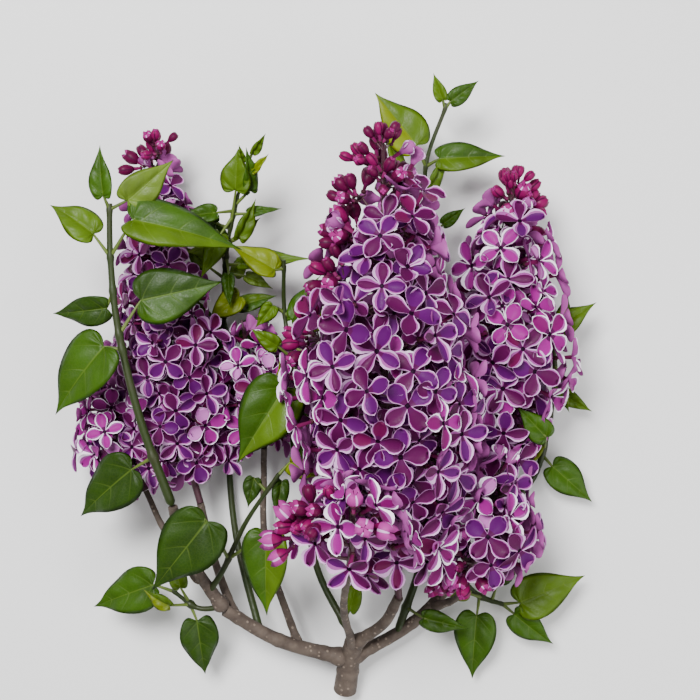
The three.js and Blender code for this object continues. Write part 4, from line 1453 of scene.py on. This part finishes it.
# What a panicle carries: florets and buds (point, turn, size, form, tint), and lines for its twigs.
Growth = namedtuple("Growth", "florets buds lines")
FLORET_GAP, BUD_GAP = 7, 3  # from the middle of a floret or bud to a limb, stem or leaf
HEAD_GAP = 9  # from an outer floret to a head of buds, along the line
HEAD_SIDE = 20  # how much of that gap a quarter turn round the panicle counts for
RIPENING = 0.12  # the share of the line, below the shut buds, over which florets open
RIPE, UNRIPE = 0.95, 0.45  # how many florets are wide open, at the lower and upper end of it
HALF_SHUT = -0.4  # this far below the shut buds, in shares of it, the others become half shut
FORM_DEAL = 97  # spreads a floret's roll over the open forms
INNER_SIZE = 0.93  # of an inner floret, as a share of an outer one
FLOOR_GAP = 0.2  # from a floret's middle to the floor, in spans
KNOTS = (0.35, 0.5, 0.65, 0.8, 0.92, 1)  # places on a side twig that fine stalks spring from
SAME_TINT = 0.6  # how many florets take their side twig's tint
HEAD_SPREAD, END_SPREAD = math.radians(58), math.radians(44)  # of a side head and the last one


def twig_to(panicle, along, around, reach):
    """The middle line of a side twig that ends this far out from the panicle's own."""
    line = panicle.line
    point, _, side, lift = line.frame(along)
    radial = side * math.cos(around) + lift * math.sin(around)
    start = line.at(max(0.03, along - 0.75 * reach / line.length))
    return Course.bowed(start, start + radial * 0.6 * reach, point + radial * reach)


def side_twigs(panicle, gap):
    """Pairs of side twigs, each pair square to the last: a middle line for each twig."""
    draw = seeded(panicle.seed + 5)
    length = panicle.line.length
    pairs = max(3, round(panicle.shut * length / gap))
    for pair in range(pairs):
        for side in (0, 1):
            along = mix(0.03, panicle.shut, (pair + 0.3 * draw()) / pairs)
            around = pair * math.pi / 2 + side * math.pi + 0.5 * (draw() - 0.5)
            if along < panicle.bare_to(around):
                continue
            reach = panicle.radius(min(1, along + 0.08), around)
            yield twig_to(panicle, min(1, along + 0.5 * reach / length), around, 0.66 * reach)


def grow_panicle(panicle, earlier, later, hurdles, flowers, twigs):
    """Sets out a panicle's florets and buds, and draws the twigs that lead to them."""
    growth = Growth([], [], [])
    line = panicle.line
    draw = seeded(panicle.seed + 9)
    span, bud = flowers.span / MM, flowers.bud_length / MM
    uneven, tube = flowers.unevenness / MM, TUBE_SHARE * span * panicle.small
    floor = -SET_DOWN[2] / MM + FLOOR_GAP * span

    heads = []
    for along, around, youth in panicle.bud_heads(flowers.head_spacing / MM, bud):
        size = mix(1.0, flowers.youngest, youth)
        reach = panicle.radius(along, around) - 1.4 * bud * size * (youth < 1)
        heads.append((twig_to(panicle, along, around, max(0.5, reach)), along, around, size, youth))
    sides = [*side_twigs(panicle, twigs.gap / MM), *(head[0] for head in heads)]
    knots = np.array([side.points(KNOTS) for side in sides])
    deal = np.cumsum(panicle.tints) / sum(panicle.tints)
    tint_of = [int(np.searchsorted(deal, draw())) for _ in sides]

    def free(point, room):
        return (
            hurdles.find(Vector(point))[2] > room
            and not any(other.holds(point, OUTER_SHARE) for other in earlier)
            and not any(other.holds(point, CORE_SHARE) for other in later)
        )

    def hang(point, axes, behind, kind, size, form):
        """Adds a floret or bud, with its own stalk from the nearest side twig."""
        foot = point - axes[2] * behind
        gaps = np.linalg.norm(knots - foot, axis=2)
        twig, knot = np.unravel_index(int(np.argmin(gaps)), gaps.shape)
        stalk = Course.bowed(knots[twig, knot], foot - axes[2] * 0.4 * gaps[twig, knot], foot)
        growth.lines.append((stalk.points((0, 0.35, 0.7, 1)), twigs.fine / MM))
        tint = tint_of[twig] if draw() < SAME_TINT else int(np.searchsorted(deal, draw()))
        if kind is growth.buds:
            tint = PINK if form == RIPE_FORM else min(tint, ORCHID)
        kind.append((point, Matrix(np.column_stack(axes)).to_quaternion(), size, form, tint))

    layers = (flowers.spacing, 1, 1), (flowers.inner_spacing, flowers.inner_share, INNER_SIZE)
    for layer, (spacing, share, size) in enumerate(layers):
        for along, around, rolls in panicle.sites(spacing / MM, layer):
            unripe = (along - panicle.shut_from(around)) / RIPENING
            aways = (
                abs(along - place) * line.length + HEAD_SIDE * (1 - math.cos(around - turn))
                for _, place, turn, _, _ in heads
            )
            crowded = layer == 0 and min(aways, default=math.inf) < HEAD_GAP
            if unripe > 0 or crowded or along < panicle.bare_to(around):
                continue
            stand = uneven * (2 * rolls[2] - 1)
            point, *axes = panicle.pose(along, around, rolls[0], rolls[1], share, stand)
            point[2] = max(point[2], floor)
            if not free(point, FLORET_GAP):
                continue
            form = int(rolls[3] * FORM_DEAL) % OPEN_FORMS
            if draw() < panicle.broad:
                form = BROAD_FORM
            if rolls[3] > mix(RIPE, UNRIPE, max(0, 1 + unripe)):
                form = OPEN_FORMS + (unripe > HALF_SHUT)
            hang(point, axes, tube, growth.florets, panicle.small * size, form)

    for twig, along, around, size, youth in heads:
        outward = line.heading(1) if youth == 1 else panicle.pose(along, around, 0, 0.5)[3]
        number = flowers.buds_in_head + 2 * (youth == 1) - 3 * (youth == 0)
        widest = END_SPREAD if youth == 1 else HEAD_SPREAD
        across = unit(np.cross(outward, (0.3, 0.1, 1)))
        for k in range(number):
            spread = widest * math.sqrt(k / (number - 1)) + 0.2 * (draw() - 0.5)
            lean = turned(across, outward, k * GOLDEN_ANGLE + draw())
            way = outward * math.cos(spread) + lean * math.sin(spread)
            point = twig.at(1) + way * bud * size * mix(1.05, 1.5, draw())
            point[2] = max(point[2], floor)
            first = turned(unit(np.cross(way, (0.2, 1, 0.1))), way, draw() * math.pi)
            if free(point, BUD_GAP):
                form = int(draw() > 0.35 + 0.6 * youth) if youth > 0 else RIPE_FORM
                axes = (first, np.cross(way, first), way)
                hang(point, axes, BUD_TUBE * bud * size, growth.buds, size, form)

    growth.lines.append(tapered(line, twigs.stalk / MM, 0.5, 30))
    growth.lines.extend(tapered(side, twigs.side / MM, 0.45, 8) for side in sides)
    return growth


@cache
def all_growths():
    """Every panicle's growth, worked out once for the operators."""
    scene = bpy.context.scene
    points = in_the_way(all_shoots(), scene.lilac_shoots)
    hurdles = KDTree(len(points))
    for k, point in enumerate(points):
        hurdles.insert(point, k)
    hurdles.balance()
    order = list(PANICLES.values())
    sizes = hurdles, scene.lilac_flowers, scene.lilac_twigs
    return {
        name: grow_panicle(panicle, order[:k], order[k + 1 :], *sizes)
        for k, (name, panicle) in enumerate(PANICLES.items())
    }


def point_mesh(name, spots):
    """A mesh of loose points, with what the scatter tree reads from each."""
    points, turns, sizes, forms, tints = zip(*spots)
    mesh = new_mesh(name, placed(points))
    turns = np.array([tuple(turn) for turn in turns], np.float32).ravel()
    store(mesh, "turn", turns, "QUATERNION")
    store(mesh, "size", sizes, "FLOAT")
    for title, values in (("form", forms), ("tint", tints), ("place", range(len(points)))):
        store(mesh, title, list(values))
    return mesh


def set_out(kind, forms, coats, span, flowers):
    """Sets out every panicle's florets or buds."""
    tree = scatter_tree(kind + "_on_twigs", len(forms), coats)
    values = {f"Form {k + 1}": form for k, form in enumerate(forms)}
    values |= {"Span": span, "Size Spread": flowers.size_spread}
    values |= {"Tilt": flowers.tilt, "Seed": flowers.seed}
    for name, growth in all_growths().items():
        spots = getattr(growth, kind)
        if spots:
            values["Cells"] = float(math.ceil(math.sqrt(len(spots))))
            piece = grown(f"{kind}_{name}", point_mesh(kind, spots), tree, values)
            finish_piece(piece, "panicle_" + name)
    for form in forms:
        bpy.data.objects.remove(form)


def grow_florets(scene):
    sizes, tints = scene.lilac_flowers, scene.lilac_colours
    skins = [petal_skin("petal_" + name, getattr(tints, name)) for name in TINTS]
    white = petal_skin("petal_edge_white", tints.edge_white, 0.55)
    coats = [
        *((skin, UPPER, k) for k, skin in enumerate(skins)),
        *((skins[lower], LOWER, k) for k, lower in enumerate(LOWER_TINTS)),
        (petal_skin("petal_foot", tints.heart), HEART, None),
        (petal_skin("petal_blush", tints.blush, 0.55), BLUSHED, None),
        (petal_skin("petal_edge", tints.edge, 0.55), RIM, None),
        *((white, RIM, k) for k in PALE_TINTS),
        (petal_skin("petal_back", tints.back, 0.55), BACK, None),
        # The throat's near black is painted shade.
        (petal_skin("throat", tints.throat, 0.6), THROAT, None),
        (petal_skin("tube", tints.tube), TUBE, None),
        (petal_skin("calyx", tints.calyx), CALYX, None),
    ]
    forms = [
        floret_form("floret_" + name, sizes, shape, FORM_SEED + k)
        for k, (name, shape) in enumerate(FLORET_FORMS.items())
    ]
    set_out("florets", forms, coats, sizes.span, sizes)


def grow_buds(scene):
    sizes, tints = scene.lilac_flowers, scene.lilac_colours
    light = petal_skin("bud", tints.bud, 0.42)
    dark = petal_skin("bud_dark", tints.bud_dark, 0.42)
    coats = [
        *((dark if k in DARK_BUDS else light, UPPER, k) for k in range(len(TINTS))),
        (petal_skin("bud_tip", tints.bud_tip), TIP, None),
        (petal_skin("bud_ripe", tints.bud_ripe), TIP, PINK),
        (petal_skin("bud_edge", tints.edge), RIM, None),
        (petal_skin("bud_seam", tints.bud_seam), SEAM, None),
        (petal_skin("bud_tube", tints.tube), TUBE, None),
        (petal_skin("bud_calyx", tints.calyx), CALYX, None),
    ]
    forms = [bud_form("bud_" + name, sizes, *shape) for name, shape in BUD_FORMS.items()]
    set_out("buds", forms, coats, sizes.bud_length, sizes)


def grow_twigs(scene):
    sizes, tints = scene.lilac_twigs, scene.lilac_colours
    tree = stalk_tree("twigs_in_a_panicle", stalk_skin("twig", tints.twig))
    for name, growth in all_growths().items():
        mesh = line_mesh("twigs", growth.lines)
        piece = grown("twigs_" + name, mesh, tree, {"Sides": sizes.sides})
        finish_piece(piece, "panicle_" + name)


# ---------- studio ----------


def area_light(name, place, power, size, target=(0, 0, 0.05)):
    light = bpy.data.lights.new(name, "AREA")
    light.energy, light.size = power, size
    made = add_object(name, light)
    made.location = place
    made.rotation_euler = (Vector(target) - Vector(place)).to_track_quat("-Z", "Y").to_euler()


def set_studio(scene):
    studio = scene.lilac_studio
    half = studio.floor_size / 2
    corners = [(-half, -half, 0), (half, -half, 0), (half, half, 0), (-half, half, 0)]
    mesh = new_mesh("floor", corners, [], [(0, 1, 2, 3)])
    skin = Skin("floor", studio.floor, 0.8)
    skin.feed("Roughness", skin.noise(30).ranged(0.75, 0.85))
    mesh.materials.append(skin.material)
    add_object("floor", mesh)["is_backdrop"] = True

    camera = bpy.data.cameras.new("camera")
    camera.lens, camera.sensor_width = studio.lens, 36
    camera.dof.use_dof = False
    scene.camera = add_object("camera", camera)
    scene.camera.location = placed((0, 0, studio.height / MM))

    area_light("key_light", (-0.26, 0.36, 0.98), studio.key, 0.35)
    area_light("fill_light", (0.7, -0.35, 0.7), studio.fill, 0.9)
    scene.world = bpy.data.worlds.new("room")
    scene.world.use_nodes = True
    glow = scene.world.node_tree.nodes["Background"]
    glow.inputs["Color"].default_value = (1, 1, 1, 1)
    glow.inputs["Strength"].default_value = studio.sky


# ---------- add-on ----------


class LILAC_OT_bark(bpy.types.Operator):
    """Grow the bark of the stem and boughs"""

    bl_idname = "lilac.bark"
    bl_label = "Bark"

    def execute(self, context):
        grow_bark(context.scene)
        return {"FINISHED"}


class LILAC_OT_stems(bpy.types.Operator):
    """Grow the green stems and leaf stalks of the shoots"""

    bl_idname = "lilac.stems"
    bl_label = "Green Stems"

    def execute(self, context):
        grow_stems(context.scene)
        return {"FINISHED"}


class LILAC_OT_leaves(bpy.types.Operator):
    """Grow the leaves of the shoots"""

    bl_idname = "lilac.leaves"
    bl_label = "Leaves"

    def execute(self, context):
        grow_leaves(context.scene)
        return {"FINISHED"}


class LILAC_OT_florets(bpy.types.Operator):
    """Set out the open florets of the panicles"""

    bl_idname = "lilac.florets"
    bl_label = "Florets"

    def execute(self, context):
        grow_florets(context.scene)
        return {"FINISHED"}


class LILAC_OT_buds(bpy.types.Operator):
    """Set out the closed buds of the panicles"""

    bl_idname = "lilac.buds"
    bl_label = "Buds"

    def execute(self, context):
        grow_buds(context.scene)
        return {"FINISHED"}


class LILAC_OT_twigs(bpy.types.Operator):
    """Grow the stalks and twigs inside the panicles"""

    bl_idname = "lilac.twigs"
    bl_label = "Twigs"

    def execute(self, context):
        grow_twigs(context.scene)
        return {"FINISHED"}


class LILAC_OT_studio(bpy.types.Operator):
    """Lay the floor, and set up the camera and lights"""

    bl_idname = "lilac.studio"
    bl_label = "Studio"

    def execute(self, context):
        set_studio(context.scene)
        return {"FINISHED"}


STEPS = (
    LILAC_OT_bark, LILAC_OT_stems, LILAC_OT_leaves, LILAC_OT_florets, LILAC_OT_buds,
    LILAC_OT_twigs, LILAC_OT_studio,
)
SETTINGS = {
    "lilac_flowers": LilacFlowers,
    "lilac_twigs": LilacTwigs,
    "lilac_shoots": LilacShoots,
    "lilac_bark": LilacBark,
    "lilac_colours": LilacColours,
    "lilac_studio": LilacStudio,
}


class LILAC_PT_panel(bpy.types.Panel):
    """Steps and sizes of the lilac branch"""

    bl_idname = "LILAC_PT_panel"
    bl_label = "Lilac Branch"
    bl_space_type = "VIEW_3D"
    bl_region_type = "UI"
    bl_category = "Lilac"

    def draw(self, context):
        for step in STEPS:
            self.layout.operator(step.bl_idname)
        for title in SETTINGS:
            box = self.layout.box()
            group = getattr(context.scene, title)
            for name in group.__annotations__:
                box.prop(group, name)


def register():
    for made in (*SETTINGS.values(), *STEPS, LILAC_PT_panel):
        bpy.utils.register_class(made)
    for title, group in SETTINGS.items():
        setattr(bpy.types.Scene, title, PointerProperty(type=group))


def unregister():
    for title in SETTINGS:
        delattr(bpy.types.Scene, title)
    for made in reversed((*SETTINGS.values(), *STEPS, LILAC_PT_panel)):
        bpy.utils.unregister_class(made)


def main():
    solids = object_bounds()
    register()
    bpy.ops.lilac.bark()
    bpy.ops.lilac.stems()
    bpy.ops.lilac.leaves()
    bpy.ops.lilac.florets()
    bpy.ops.lilac.buds()
    bpy.ops.lilac.twigs()
    bpy.ops.lilac.studio()
    boxes = {"cad": solids, "visual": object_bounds()}
    {key: [list(corner) for corner in box] for key, box in boxes.items()}


if __name__ == "__main__":
    main()
